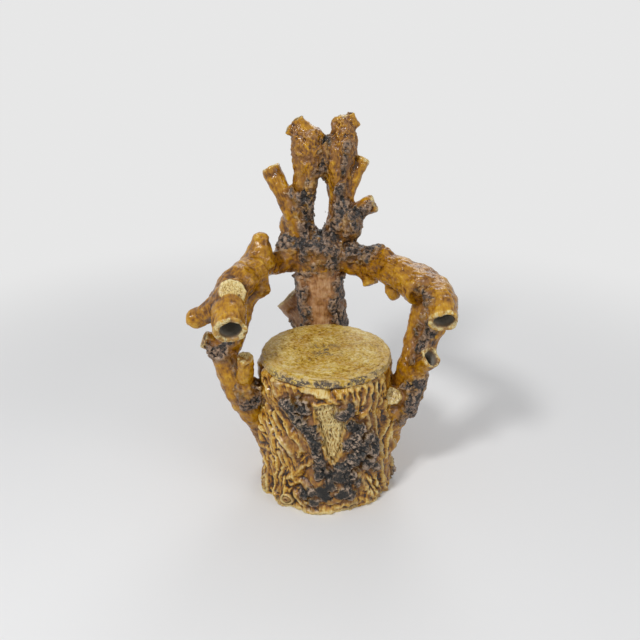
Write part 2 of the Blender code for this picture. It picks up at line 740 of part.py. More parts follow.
def make_stump_bark():
    """Crusts, knots, brow and roots luted on the drum."""
    strips = (
        ("stump_crust_band", BAND_SHARES, BAND_WIDTH, CRUST_PROUD, CRUST),
        ("stump_crust_patch", PATCH_SHARES, PATCH_WIDTH, CRUST_PROUD, CRUST),
        ("stump_crust_hem", HEM_SHARES, HEM_WIDTH, CRUST_PROUD, CRUST),
        ("stump_bark_brow", BROW_SHARES, BROW_WIDTH, BARK_PROUD, AMBER),
        ("stump_bark_flap", FLAP_SHARES, FLAP_WIDTH, BARK_PROUD, UMBER),
        ("stump_long_knot", LONG_KNOT_SHARES, LONG_KNOT_WIDTH, BARK_PROUD, UMBER),
        ("right_root", RIGHT_ROOT_SHARES, RIGHT_ROOT_WIDTH, RIGHT_ROOT_PROUD, CRUST),
        ("left_root", LEFT_ROOT_SHARES, LEFT_ROOT_WIDTH, LEFT_ROOT_PROUD, AMBER),
    )
    for name, shares, width, proud, finish in strips:
        skin(name, drum_route(shares, width), "drum", proud, CRUST_RELIEF / 2, finish)
    turn, height = BOSS_PLACE_SHARES
    crust_lump("stump_crust_boss", on_drum(turn, height * SEAT_HEIGHT, 0), BOSS_RADIUS, CRUST)
    turn, height = ROUND_KNOT_PLACE_SHARES
    rows = [(on_drum(turn, height * SEAT_HEIGHT, out), ROUND_KNOT_RADIUS)
            for out in (-STUMP_WALL / 2, ROUND_KNOT_PROUD)]
    fit_piece(tube_form("stump_round_knot", rows, LIMB_FACETS), CREAM)


# Back

def make_back():
    """Trunk, crown and the three limbs, with the stubs and crusts on them."""
    crown = Vector((-TRUNK_LEAN, SEAT_RADIUS + TRUNK_RADIUS, SEAT_HEIGHT + CROWN_RISE))
    trunk = free_route(Vector(), crown, TRUNK_RADIUS, TRUNK_SHARES)
    form = tube_form("back_trunk", stretch_of(trunk, 0, 1), LIMB_FACETS)
    roughen(form, LIMB_RELIEF, LIMB_LUMP)
    bore_rows = [(centre, TRUNK_RADIUS - TRUNK_WALL) for centre, radius in trunk]
    fit_piece(form, UMBER, [bore_form("back_trunk", bore_rows, 0, 0, BLIND_END_SHARE)])
    crust_lump("crown_knot", crown, KNOT_RADIUS, CRUST, 3)
    left_reach = (LEFT_LIMB_OUT, LEFT_LIMB_BACK, LEFT_LIMB_RISE)
    left = free_route(crown, left_reach, LEFT_LIMB_RADIUS, LEFT_LIMB_SHARES)
    limb("back_limb_left", left, AMBER, LIMB_WALL)
    middle_reach = (MIDDLE_LIMB_OUT, MIDDLE_LIMB_BACK, MIDDLE_LIMB_RISE)
    middle = free_route(crown, middle_reach, MIDDLE_LIMB_RADIUS, MIDDLE_LIMB_SHARES)
    limb("back_limb_middle", middle, AMBER, LIMB_WALL, high=BLIND_END_SHARE)
    right_reach = (RIGHT_LIMB_OUT, RIGHT_LIMB_BACK, RIGHT_LIMB_RISE)
    right = free_route(crown, right_reach, RIGHT_LIMB_RADIUS, RIGHT_LIMB_SHARES)
    limb("back_limb_right", right, AMBER, LIMB_WALL, high=BLIND_END_SHARE)
    stub("trunk_hollow_stub", trunk, TRUNK_STUB_LENGTH, TRUNK_STUB_RADIUS, SAWN_SHARES, UMBER,
         TRUNK_STUB_WALL)
    stub("middle_limb_nub_low", middle, LOW_NUB_LENGTH, LOW_NUB_RADIUS, SAWN_SHARES, AMBER, NUB_WALL)
    stub("middle_limb_nub_high", middle, HIGH_NUB_LENGTH, HIGH_NUB_RADIUS, SAWN_SHARES, AMBER, NUB_WALL)
    stub("right_limb_spout", right, SPOUT_LENGTH, SPOUT_RADIUS, SAWN_SHARES, AMBER, NUB_WALL)
    stub("right_limb_stub_upper", right, UPPER_STUB_LENGTH, UPPER_STUB_RADIUS, TAPER_SHARES, AMBER)
    stub("right_limb_stub_lower", right, LOWER_STUB_LENGTH, LOWER_STUB_RADIUS, SAWN_SHARES, UMBER)
    lump_on("left_limb_burl", left, BURL_RADIUS, AMBER)
    crust_strip("trunk_crust_left", "back_trunk", trunk)
    crust_strip("trunk_crust_right", "back_trunk", trunk)
    crust_strip("middle_limb_crust", "back_limb_middle", middle)
    crust_lump("fork_crust", middle_of(left, middle, FORK_SHARES), FORK_CRUST_RADIUS, CRUST)
    crust_lump("limb_bridge_crust", middle_of(middle, right, BRIDGE_SHARES), BRIDGE_CRUST_RADIUS, AMBER)
    lump_on("right_limb_crust", right, LIMB_CRUST_RADIUS, CRUST)
    return crown


# Arms

def make_left_arm(crown):
    """Left arm: limb, open pipe in front, posts, stubs and knobs."""
    arm_reach = (SEAT_RADIUS + LEFT_ARM_OUT, SEAT_RADIUS + LEFT_ARM_FORWARD, LEFT_ARM_RADIUS)
    arm = free_route(crown, arm_reach, LEFT_ARM_RADIUS, LEFT_ARM_SHARES)
    limb("left_arm_limb", arm, AMBER, ARM_WALL, high=BLIND_END_SHARE)
    pipe_start = on_route(arm, LEFT_PIPE_START_SHARE)[0]
    pipe_reach = (LEFT_PIPE_OUT, LEFT_PIPE_FORWARD, LEFT_PIPE_DROP)
    pipe = free_route(pipe_start, pipe_reach, LEFT_PIPE_RADIUS, LEFT_PIPE_SHARES)
    limb("left_arm_pipe", pipe, AMBER, PIPE_WALL)
    crotch = Vector((-SEAT_RADIUS - LEFT_CROTCH_OUT, -LEFT_CROTCH_FORWARD, SEAT_HEIGHT - LEFT_CROTCH_DROP))
    foot = on_drum(-90, SEAT_HEIGHT - POST_FOOT_DROP, -LEFT_LOWER_POST_RADIUS / 2)
    lower = held_route(foot, crotch, -1, LEFT_LOWER_POST_RADIUS, LEFT_LOWER_POST_SHARES)
    limb("left_post_lower", lower, AMBER, POST_WALL)
    post_top = on_route(arm, LEFT_POST_TOP_SHARE)[0]
    upper = held_route(crotch, post_top, -1, LEFT_UPPER_POST_RADIUS, LEFT_UPPER_POST_SHARES)
    limb("left_post_upper", upper, AMBER, POST_WALL)
    stub("left_arm_upright_stub", arm, UPRIGHT_LENGTH, UPRIGHT_RADIUS, ROUND_SHARES, AMBER)
    stub("left_arm_ball_knob", pipe, SIDE_KNOB_LENGTH, SIDE_KNOB_RADIUS, CONE_SHARES, AMBER)
    stub("left_arm_sawn_stub", pipe, ELBOW_SAWN_LENGTH, ELBOW_SAWN_RADIUS, SAWN_SHARES, CREAM)
    stub("left_arm_inner_stub", arm, INNER_STUB_LENGTH, INNER_STUB_RADIUS, SAWN_SHARES, AMBER)
    stub("left_post_hollow_stub", upper, LEFT_POST_STUB_LENGTH, LEFT_POST_STUB_RADIUS, SAWN_SHARES, CRUST,
         POST_STUB_WALL)
    stub("left_post_sawn_stub", lower, LEFT_SAWN_STUB_LENGTH, LEFT_SAWN_STUB_RADIUS, SAWN_SHARES, AMBER)
    lump_on("left_post_crust", lower, LEFT_POST_CRUST_RADIUS, CRUST)
    lump_on("crown_crust_left", arm, SHOULDER_CRUST_RADIUS, CRUST)


def make_right_arm(crown):
    """Right arm: limb, open pipe in front, posts, stubs and knobs."""
    arm_reach = (SEAT_RADIUS + RIGHT_ARM_OUT, SEAT_RADIUS + RIGHT_ARM_FORWARD, RIGHT_ARM_RADIUS)
    arm = free_route(crown, arm_reach, RIGHT_ARM_RADIUS, RIGHT_ARM_SHARES)
    limb("right_arm_limb", arm, AMBER, ARM_WALL, high=BLIND_END_SHARE)
    pipe_start = on_route(arm, RIGHT_PIPE_START_SHARE)[0]
    pipe_reach = (RIGHT_PIPE_OUT, RIGHT_PIPE_FORWARD, RIGHT_PIPE_DROP)
    pipe = free_route(pipe_start, pipe_reach, RIGHT_PIPE_RADIUS, RIGHT_PIPE_SHARES)
    limb("right_arm_pipe", pipe, AMBER, PIPE_WALL)
    crotch = Vector((SEAT_RADIUS + RIGHT_CROTCH_OUT, -RIGHT_CROTCH_FORWARD, SEAT_HEIGHT - RIGHT_CROTCH_DROP))
    foot = on_drum(90, SEAT_HEIGHT - POST_FOOT_DROP, 0)
    lower = held_route(foot, crotch, 1, RIGHT_LOWER_POST_RADIUS, RIGHT_LOWER_POST_SHARES)
    limb("right_post_lower", lower, CRUST, POST_WALL)
    inner_top = on_route(pipe, RIGHT_INNER_POST_TOP_SHARE)[0]
    inner = held_route(crotch, inner_top, 1, RIGHT_INNER_POST_RADIUS, RIGHT_INNER_POST_SHARES)
    limb("right_post_inner", inner, AMBER, POST_WALL)
    outer_top = on_route(pipe, RIGHT_OUTER_POST_TOP_SHARE)[0]
    outer = held_route(crotch, outer_top, 1, RIGHT_OUTER_POST_RADIUS, RIGHT_OUTER_POST_SHARES)
    limb("right_post_outer", outer, AMBER, POST_WALL)
    stub("right_arm_under_stub", arm, UNDER_STUB_LENGTH, UNDER_STUB_RADIUS, SAWN_SHARES, AMBER)
    stub("right_arm_ball_knob", arm, BALL_KNOB_LENGTH, BALL_KNOB_RADIUS, BALL_SHARES, AMBER)
    stub("right_arm_top_knob", arm, TOP_KNOB_LENGTH, TOP_KNOB_RADIUS, ROUND_SHARES, AMBER)
    stub("right_post_hollow_stub", lower, RIGHT_POST_STUB_LENGTH, RIGHT_POST_STUB_RADIUS, SAWN_SHARES, AMBER,
         POST_STUB_WALL)
    stub("right_post_sawn_stub", lower, RIGHT_SAWN_STUB_LENGTH, RIGHT_SAWN_STUB_RADIUS, SAWN_SHARES, CREAM)
    stub("right_post_knob", lower, POST_KNOB_LENGTH, POST_KNOB_RADIUS, ROUND_SHARES, AMBER)
    crust_strip("right_post_crust", "right_post_inner", inner)
    crust_strip("right_post_lower_crust", "right_post_lower", lower)
    crust_strip("crown_crust_right", "right_arm_limb", arm)


# Placing

def stand_on_origin():
    """Hang every piece on one empty, whose place brings the footprint's middle to the origin."""
    boxes = [bounds(piece) for piece in PARTS.objects]
    low = [min(box[0][axis] for box in boxes) for axis in range(3)]
    high = [max(box[1][axis] for box in boxes) for axis in range(3)]
    base = bpy.data.objects.new("grotto_chair_base", None)
    base.location = (-(low[0] + high[0]) / 2, -(low[1] + high[1]) / 2, -low[2])
    for piece in [*PARTS.objects, *CUTTERS.objects]:
        piece.parent = base
    PARTS.objects.link(base)
    bpy.context.view_layer.update()
    print("stump axis stands at", [round(value, 5) for value in base.location])


def main():
    """Make the chair."""
    floor_fit()
    make_stump()
    make_seat()
    crown = make_back()
    make_left_arm(crown)
    make_right_arm(crown)
    make_stump_bark()
    stand_on_origin()


main()
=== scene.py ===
"""Looks of the grotto chair: glazed stoneware, thrown and pressed to look like a stump with branches.

The limbs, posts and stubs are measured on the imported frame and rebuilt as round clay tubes. Each group
of them becomes one skin on a grid of distances, with luted joints, bores and heaped crust, and then gets
its bark, brush marks and glaze. Lengths are in metres.
"""
from math import pi, radians

import bpy
import numpy as np
import openvdb
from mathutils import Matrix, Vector
from mathutils.bvhtree import BVHTree


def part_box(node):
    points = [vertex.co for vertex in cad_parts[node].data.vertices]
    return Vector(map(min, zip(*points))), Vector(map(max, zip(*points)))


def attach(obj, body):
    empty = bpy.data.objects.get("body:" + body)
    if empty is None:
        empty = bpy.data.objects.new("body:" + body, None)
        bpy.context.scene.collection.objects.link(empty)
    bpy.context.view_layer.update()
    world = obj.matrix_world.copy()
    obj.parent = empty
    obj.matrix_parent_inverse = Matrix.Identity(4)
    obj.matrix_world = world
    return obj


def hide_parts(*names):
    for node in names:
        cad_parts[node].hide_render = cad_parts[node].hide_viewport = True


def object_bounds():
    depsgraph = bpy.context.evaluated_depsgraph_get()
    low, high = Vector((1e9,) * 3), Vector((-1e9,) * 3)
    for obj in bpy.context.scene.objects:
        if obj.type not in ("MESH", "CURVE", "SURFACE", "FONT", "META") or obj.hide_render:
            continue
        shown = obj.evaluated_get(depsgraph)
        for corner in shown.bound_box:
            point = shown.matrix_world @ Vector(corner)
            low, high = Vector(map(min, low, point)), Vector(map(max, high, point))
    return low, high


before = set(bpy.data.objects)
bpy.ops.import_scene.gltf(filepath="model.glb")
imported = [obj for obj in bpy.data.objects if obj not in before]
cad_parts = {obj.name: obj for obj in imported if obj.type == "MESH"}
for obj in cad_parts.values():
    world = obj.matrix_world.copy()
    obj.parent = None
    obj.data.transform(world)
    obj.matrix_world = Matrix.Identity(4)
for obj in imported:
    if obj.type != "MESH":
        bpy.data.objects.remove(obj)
CAD_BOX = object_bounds()

# Clay skin: the grid keeps distances up to BAND voxels from a surface
VOXEL = 0.0024
BACK_VOXEL = 0.0025
TRUNK_VOXEL = 0.0028
BAND = 12
TUBE_SIDES = 56
TUBE_STEP = 0.006
ROOT_SINK = 0.01
RIM_ROUND = 0.003
GIRTH = 1.03
MOUTH_FLARE = 1.06
STRIP_RINGS = 12
LUTING = 0.028
BORE_DEPTH = 0.085
BORE_OVERRUN = 0.012
CRUST_REACH = 0.0272
BOX_MARGIN = 0.0006

# Measuring the frame's tubes: points on each, the fewest for a ring, and rounds of fitting and smoothing
SEED = 7
SAMPLES = 4000
FEWEST = 12
FITS = 3
SMOOTHINGS = 12
STEEP = 0.6
SKEW = (0.3, 0.5, 0.8)

# Stump and seat
STUMP_COLUMNS = 480
STUMP_ROWS = 198
FRONT_DENSITY = 0.42
STUMP_WALL = 0.03
FOOT_ROUND = 0.004
SEAM = 0.0003
SEAT_COLUMNS = 360
SEAT_RINGS = 84
SEAT_LIP = 0.007
SEAT_MIDDLE = 0.002

# Camera, from the seat's ellipse in the photo: place from the seat's axis, pitch and lens
CAMERA_OFFSET = (-0.0175, -1.6863)
CAMERA_HEIGHT = 1.2799
CAMERA_PITCH = 24.04
CAMERA_LENS = 36.5625
SENSOR = 36
PHOTO_SIDE = 640

SEAT_LOW, SEAT_HIGH = (np.array(corner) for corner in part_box("seat_slab"))
AXIS = (SEAT_LOW + SEAT_HIGH)[:2] / 2
SEAT_RADIUS = (SEAT_HIGH[0] - SEAT_LOW[0]) / 2
SEAT_TOP = SEAT_HIGH[2]
SEAT_BOTTOM = SEAT_LOW[2]
STUMP_RADIUS = SEAT_RADIUS - 0.002


# Noise on many points at once

def lattice(cell, seed):
    """Steady random value from 0 to 1 for each whole-numbered cell."""
    x, y, z = np.moveaxis(cell, -1, 0)
    mixed = (x * 73856093) ^ (y * 19349663) ^ (z * 83492791) ^ (seed * 2654435)
    mixed = (mixed ^ (mixed >> 13)) * 1274126177
    mixed = (mixed ^ (mixed >> 16)) & 0xFFFFFF
    return mixed / float(0xFFFFFF)


# Turns the noise's cells away from the axes
TILT = np.array([[0.72, 0.51, -0.47], [-0.6, 0.8, -0.05], [0.35, 0.32, 0.88]])


def blended(cell, part, value_at):
    """Values of a cell's eight corners, blended for a place in the cell."""
    total = 0
    for corner in range(8):
        step = np.array([corner & 1, (corner >> 1) & 1, (corner >> 2) & 1])
        weight = np.where(step, part, 1 - part).prod(axis=-1)
        total = total + weight * value_at(cell + step)
    return total


def value_noise(places, size, seed=0):
    """Smooth noise from 0 to 1, with lumps about as wide as size."""
    scaled = places @ TILT / size
    cell = np.floor(scaled).astype(np.int64)
    part = scaled - cell
    part = part * part * part * (part * (part * 6 - 15) + 10)
    return blended(cell, part, lambda corner: lattice(corner, seed))


def fbm(places, size, seed=0, octaves=3, sharp=False):
    """Noise from 0 to 1 with finer noise on it; sharp noise has crests."""
    total = 0
    for octave in range(octaves):
        wave = value_noise(places, size / 2 ** octave, seed + octave)
        total = total + (1 - np.abs(2 * wave - 1) if sharp else wave) / 2 ** octave
    return total / (2 - 2 ** (1 - octaves))


def ridged(places, size, seed=0, octaves=3):
    """Noise from 0 to 1 with sharp crests."""
    return fbm(places, size, seed, octaves, True)


def waves(places, size, seed=0, octaves=3):
    """Noise from -0.5 to 0.5 with finer noise on it."""
    return fbm(places, size, seed, octaves) - 0.5


def sway(noise, places, size, seeds):
    """Random shift from -0.5 to 0.5, along one axis for each seed."""
    return np.stack([noise(places, size, seed) for seed in seeds], axis=-1) - 0.5


def grains(places, size, seed=0):
    """Round grains from 0 between them to 1 on top, and a steady random value for each grain."""
    scaled = places / size
    cell = np.floor(scaled).astype(np.int64)
    nearest = np.full(len(places), 9.0)
    tint = np.zeros(len(places))
    for step in np.ndindex(3, 3, 3):
        other = cell + step - 1
        spot = np.stack([lattice(other, seed + axis) for axis in (1, 2, 3)], axis=-1)
        gap = np.linalg.norm(other + spot - scaled, axis=-1)
        closer = gap < nearest
        nearest = np.where(closer, gap, nearest)
        tint = np.where(closer, lattice(other, seed + 4), tint)
    return np.sqrt(np.clip(1 - (nearest / 0.85) ** 2, 0, 1)), tint


def ramp(value, low, high):
    """0 below low, 1 above high, smooth between them; high may be the lower one."""
    part = np.clip((value - low) / (high - low), 0, 1)
    return part * part * (3 - 2 * part)


# Frame's forms

def read(items, name, width=3, kind=float):
    """One property of all of a mesh's items, in rows."""
    flat = np.empty(len(items) * width, dtype=kind)
    items.foreach_get(name, flat)
    return flat.reshape(-1, width)


def triangles_of(node):
    """Corners of a node's triangles."""
    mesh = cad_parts[node].data
    mesh.calc_loop_triangles()
    return read(mesh.vertices, "co")[read(mesh.loop_triangles, "vertices", kind=np.int64)]


def samples_of(node):
    """Points spread over a node's surface, and its normals there."""
    faces = triangles_of(node)
    cross = np.cross(faces[:, 1] - faces[:, 0], faces[:, 2] - faces[:, 0])
    area = np.linalg.norm(cross, axis=1)
    dice = np.random.default_rng(SEED)
    pick = dice.choice(len(faces), SAMPLES, p=area / area.sum())
    a, b = dice.random((2, SAMPLES, 1))
    fold = a + b > 1
    a, b = np.where(fold, 1 - a, a), np.where(fold, 1 - b, b)
    corner = faces[pick]
    points = corner[:, 0] + a * (corner[:, 1] - corner[:, 0]) + b * (corner[:, 2] - corner[:, 0])
    return points, cross[pick] / area[pick, None]


def node_form(node):
    """Corners and triangles of a node of the frame."""
    corners = triangles_of(node).reshape(-1, 3)
    return corners, np.arange(len(corners)).reshape(-1, 3)


def tree_of(nodes):
    """Search tree over several nodes' triangles."""
    corners = np.concatenate([node_form(node)[0] for node in nodes])
    index = np.arange(len(corners)).reshape(-1, 3)
    return BVHTree.FromPolygons([tuple(place) for place in corners], index.tolist())


def distances(places, nodes):
    """How far each place is from the nearest of several nodes."""
    tree = tree_of(nodes)
    return np.array([tree.find_nearest(place)[3] for place in places.tolist()])


def unit(vectors):
    """Vectors of length one."""
    return vectors / np.maximum(np.linalg.norm(vectors, axis=-1, keepdims=True), 1e-12)


def across(way):
    """A direction at right angles to a way."""
    return unit(np.cross(way, SKEW))


def lengths_along(line):
    """How far along a line each of its points is."""
    return np.concatenate([[0], np.cumsum(np.linalg.norm(np.diff(line, axis=0), axis=1))])


# Round tubes

def fit_rings(points, normals, along, ways_at):
    """Least-squares circle for each slab across a tube: its middle and radius."""
    edges = np.linspace(along.min(), along.max(), len(ways_at) + 1)
    rows = []
    for low, high, way in zip(edges, edges[1:], ways_at):
        inside = (along >= low) & (along <= high)
        side = across(way)
        other = np.cross(way, side)
        place, normal = points[inside], normals[inside]
        flat = normal - (normal @ way)[:, None] * way
        steep = np.linalg.norm(flat, axis=1) > STEEP
        place, flat = place[steep], unit(flat[steep])
        if len(place) < FEWEST:
            continue
        centre = place.mean(axis=0)
        outer = ((place - centre) * flat).sum(axis=1) > 0
        place, flat = place[outer], flat[outer]
        ones, zeros = np.ones(len(place)), np.zeros(len(place))
        matrix = np.concatenate([
            np.stack([ones, zeros, flat @ side], axis=1),
            np.stack([zeros, ones, flat @ other], axis=1),
        ])
        target = np.concatenate([(place - centre) @ side, (place - centre) @ other])
        one, two, radius = np.linalg.lstsq(matrix, target, rcond=None)[0]
        rows.append([*(centre + one * side + two * other), radius])
    return np.array(rows)


def tube(rows):
    """Corners and triangles of a closed tube through rings: middle, radius and the two ways across."""
    turn = np.linspace(0, 2 * pi, TUBE_SIDES, endpoint=False)[:, None]
    corners = [middle + radius * (np.cos(turn) * side + np.sin(turn) * other)
               for middle, radius, side, other in rows]
    corners = np.concatenate([*corners, [rows[0][0]], [rows[-1][0]]])
    ring = np.arange(TUBE_SIDES)
    after = (ring + 1) % TUBE_SIDES
    top = (len(rows) - 1) * TUBE_SIDES
    sides = []
    for low in range(0, top, TUBE_SIDES):
        high = low + TUBE_SIDES
        sides += [(low + ring, low + after, high + after), (low + ring, high + after, high + ring)]
    cap = np.full(TUBE_SIDES, top + TUBE_SIDES)
    sides += [(cap, after, ring), (cap + 1, top + ring, top + after)]
    return corners, np.concatenate([np.stack(side, axis=1) for side in sides])


def upright(rows):
    """Corners and triangles of a round form with level rings: middle and radius of each."""
    return tube([(np.array(middle), radius, np.array([1.0, 0, 0]), np.array([0, 1.0, 0]))
                 for middle, radius in rows])


class Guide:
    """Centre line and radius of a tube-shaped node, measured on its surface."""

    def __init__(self, node, parent, slabs, end, wall=None):
        self.node, self.end, self.wall = node, end, wall
        points, normals = samples_of(node)
        middle = points.mean(axis=0)
        way = np.linalg.eigh(np.cov((points - middle).T))[1][:, -1]
        along = (points - middle) @ way
        low_gap, high_gap = distances(middle + np.outer([along.min(), along.max()], way), [parent])
        if low_gap > high_gap:
            way, along = -way, -along
        ways_at = np.repeat(way[None], slabs, axis=0)
        for fit in range(FITS):
            rows = fit_rings(points, normals, along, ways_at)
            self.centres, self.radii = rows[:, :3], rows[:, 3]
            along = self.follow(points)[0]
            ways_at = unit(np.gradient(self.centres, axis=0))
            ways_at = ways_at[np.linspace(0, len(rows) - 1, slabs).round().astype(int)]
        self.reach_ends(points, along, ways_at[0], ways_at[-1])
        self.refine()

    def reach_ends(self, points, along, first, last):
        """Add a row at the root, sunk into the parent, and one at the tip."""
        tip_reach = ((points - self.centres[-1]) @ last)[along > along.max() * 0.6].max()
        root_reach = -((points - self.centres[0]) @ first)[along < along.max() * 0.4].min()
        tip = self.centres[-1] + last * (tip_reach + (ROOT_SINK if self.end == "joined" else 0))
        root = self.centres[0] - first * (root_reach + ROOT_SINK)
        self.centres = np.concatenate([[root], self.centres, [tip]])
        self.radii = np.concatenate([self.radii[:1], self.radii, self.radii[-1:]])

    def refine(self):
        """Close rows along a smooth curve through the measured ones, and frames that don't twist."""
        length = lengths_along(self.centres)
        where = np.linspace(0, length[-1], max(6, int(length[-1] / TUBE_STEP)))
        rows = np.column_stack([self.centres, self.radii])
        soft = np.stack([np.interp(where, length, column) for column in rows.T], axis=1)
        for smoothing in range(SMOOTHINGS):
            soft[1:-1] = (soft[:-2] + 2 * soft[1:-1] + soft[2:]) / 4
        places, girths = zip(*GIRTHS.get(self.node, ((0, 1),)))
        soft[:, 3] *= np.interp(where / where[-1], places, girths)
        self.centres, self.radii = soft[:, :3], soft[:, 3]
        self.lengths = lengths_along(self.centres)
        self.ways = unit(np.gradient(self.centres, axis=0))
        side = across(self.ways[0])
        sides = []
        for way in self.ways:
            side = unit(side - way * (side @ way))
            sides.append(side)
        self.sides = np.array(sides)
        self.others = np.cross(self.ways, self.sides)

    def follow(self, places):
        """For each place: how far along the line it is, the segment there, and the foot on the line."""
        found = np.full((len(places), 6), np.inf)
        last = len(self.centres) - 2
        start = 0
        for index, (first, step) in enumerate(zip(self.centres, np.diff(self.centres, axis=0))):
            size = np.linalg.norm(step)
            share = (places - first) @ step / size ** 2
            share = np.clip(share, 0 if index > 0 else -np.inf, 1 if index < last else np.inf)
            foot = first + share[:, None] * step
            gap = np.linalg.norm(places - foot, axis=1)
            row = np.column_stack([gap, start + share * size, np.full(len(places), index), foot])
            found = np.where((gap < found[:, 0])[:, None], row, found)
            start += size
        return found[:, 1], found[:, 2].astype(int), found[:, 3:]

    def straighten(self, places):
        """Places as if the tube were straight, how far they are off its surface, its radius there, and
        how far off its line they are."""
        along, segment, feet = self.follow(places)
        off = places - feet
        sideways = [(off * ways[segment]).sum(axis=1) for ways in (self.sides, self.others)]
        radius = np.interp(along, self.lengths, self.radii)
        gap = np.linalg.norm(off, axis=1) - radius
        past = np.maximum(along - self.lengths[-1], 0) + np.maximum(-along, 0)
        gap = np.hypot(np.maximum(gap, 0), past) + np.minimum(gap, 0)
        return np.column_stack([along, *sideways]), gap, radius, off

    def form(self, rows):
        """A closed tube through rings: middle, radius and the row of the line that each follows."""
        return tube([(middle, radius, self.sides[row], self.others[row]) for middle, radius, row in rows])

    def outside(self):
        """The closed tube from root to tip."""
        rows = [(self.centres[row], self.radii[row] * GIRTH, row) for row in range(len(self.centres))]
        tip, way = self.centres[-1], self.ways[-1]
        radius, last = rows[-1][1:]
        if self.end == "round":
            rows = rows[:-max(1, int(radius * 0.6 / TUBE_STEP))]
            base = rows[-1][0]
            reach = np.linalg.norm(tip - base)
            rows += [(base + way * reach * np.sin(turn), radius * np.cos(turn), last)
                     for turn in np.linspace(0, pi / 2, 9)[1:-1]]
        else:
            rows[-1] = (tip - way * RIM_ROUND / 2, radius, last)
            rows.append((tip, radius - RIM_ROUND, last))
        return self.form(rows)

    def bore(self):
        """The tube's hollow, from past its mouth to a rounded floor."""
        last = len(self.centres) - 1
        mouth = self.centres[last] + self.ways[last] * BORE_OVERRUN
        rows = [(mouth, (self.radii[last] - self.wall) * MOUTH_FLARE, last)]
        for row in range(last, -1, -1):
            depth = self.lengths[last] - self.lengths[row]
            if depth > BORE_DEPTH:
                break
            radius = max(self.radii[row] - self.wall, 0.4 * self.radii[row])
            rows.append((self.centres[row], radius * (1 - 0.5 * (depth / BORE_DEPTH) ** 4), row))
        return self.form(rows)

    def strip(self, low, high, way, girth):
        """A thick thread laid along one side of the tube, between two shares of its length."""
        rows = []
        for share in np.linspace(low, high, STRIP_RINGS):
            row = int(round(share * (len(self.centres) - 1)))
            flat = np.array(way) - self.ways[row] * (np.array(way) @ self.ways[row])
            taper = np.sin(pi * (share - low + 0.02) / (high - low + 0.04))
            rows.append((self.centres[row] + unit(flat) * self.radii[row], girth * taper, row))
        return self.form(rows)


# Skins of clay

def fillet(first, second, width):
    """How much clay fills the corner where two distances are about as low."""
    both = np.maximum(width - np.abs(first - second), 0)
    return both * both / (4 * width)


def smooth_min(first, second, width):
    """Lower of two distances, with a fillet."""
    return np.minimum(first, second) - fillet(first, second, width)


class Skin:
    """Distances to a group's clay, on a grid round it."""

    def __init__(self, forms, voxel):
        corners = np.concatenate([form[0] for form in forms])
        self.voxel = voxel
        self.far = BAND * voxel
        self.low = np.floor(corners.min(axis=0) / voxel).astype(int) - BAND
        high = np.ceil(corners.max(axis=0) / voxel).astype(int) + BAND
        self.values = np.full(high - self.low + 1, self.far, dtype=np.float32)

    def parts(self, forms):
        """Each form's own distances, and where they lie on the grid; forms off the grid are left out."""
        transform = openvdb.createLinearTransform(voxelSize=self.voxel)
        for corners, sides in forms:
            corners, sides = corners.astype(np.float32), sides.astype(np.uint32)
            grid = openvdb.FloatGrid.createLevelSetFromPolygons(
                corners, triangles=sides, transform=transform, halfWidth=BAND)
            low, high = grid.evalActiveVoxelBoundingBox()
            low = np.maximum(low, self.low)
            high = np.minimum(high, self.low + self.values.shape - 1)
            if (high < low).any():
                continue
            values = np.empty(high - low + 1, dtype=np.float32)
            grid.copyToArray(values, ijk=low.tolist())
            yield values, tuple(slice(*pair) for pair in zip(low - self.low, high - self.low + 1))

    def add(self, form, width):
        """Lute a form on."""
        for values, window in self.parts([form]):
            self.values[window] = smooth_min(self.values[window], values, width)

    def drill(self, form, width):
        """Take a form out, with a worn edge."""
        for values, window in self.parts([form]):
            self.values[window] = -smooth_min(-self.values[window], values, width)

    def nearest(self, forms):
        """Distances to the nearest of several forms."""
        near = np.full_like(self.values, self.far)
        for values, window in self.parts(forms):
            near[window] = np.minimum(near[window], values)
        return near

    def flow_into(self, forms, width):
        """Swell where other groups are near, so that both skins run into one another."""
        beside = self.nearest(forms)
        swelling = fillet(self.values, beside, width)
        swelling[beside >= self.far * 0.99] = 0
        self.values -= swelling

    def heap(self, crust_forms):
        """Crust heaped on the clay round several forms; how far they are is kept for the glaze."""
        self.gap = self.nearest(crust_forms)
        near = (np.abs(self.values) < self.far * 0.6) & (self.gap < CRUST_REACH)
        places = (np.argwhere(near) + self.low) * self.voxel
        depth = self.values[near]
        crust = crust_share(places, self.gap[near])
        relief = np.zeros(len(places), dtype=np.float32)
        some = crust > 0
        relief[some] = crust_relief(places[some], crust[some])
        fade = 1 - ramp(depth, self.far * 0.45, self.far * 0.6)
        self.values[near] = depth - relief * fade

    def clip(self):
        """Keep inside the frame's box."""
        for axis, size in enumerate(self.values.shape):
            place = (np.arange(size) + self.low[axis]) * self.voxel
            margin = 0 if axis == 2 else BOX_MARGIN
            out = np.maximum(CAD_BOX[0][axis] + margin - place, place - CAD_BOX[1][axis] + BOX_MARGIN)
            shape = np.where(np.arange(3) == axis, size, 1)
            self.values = np.maximum(self.values, out.reshape(shape).astype(np.float32))

    def piece(self, name):
        """The skin as a mesh object."""
        grid = openvdb.FloatGrid(self.far)
        grid.transform = openvdb.createLinearTransform(voxelSize=self.voxel)
        grid.copyFromArray(np.ascontiguousarray(self.values), ijk=self.low.tolist())
        corners, sides = grid.convertToQuads(isovalue=0.0)
        return grid_piece(name, corners.astype(float), sides.tolist())

    def gap_at(self, places):
        """How far places between the grid's voxels are from the crust's forms."""
        where = places / self.voxel - self.low
        cell = np.clip(np.floor(where).astype(int), 0, np.array(self.gap.shape) - 2)
        return blended(cell, where - cell, lambda corner: self.gap[tuple(corner.T)])


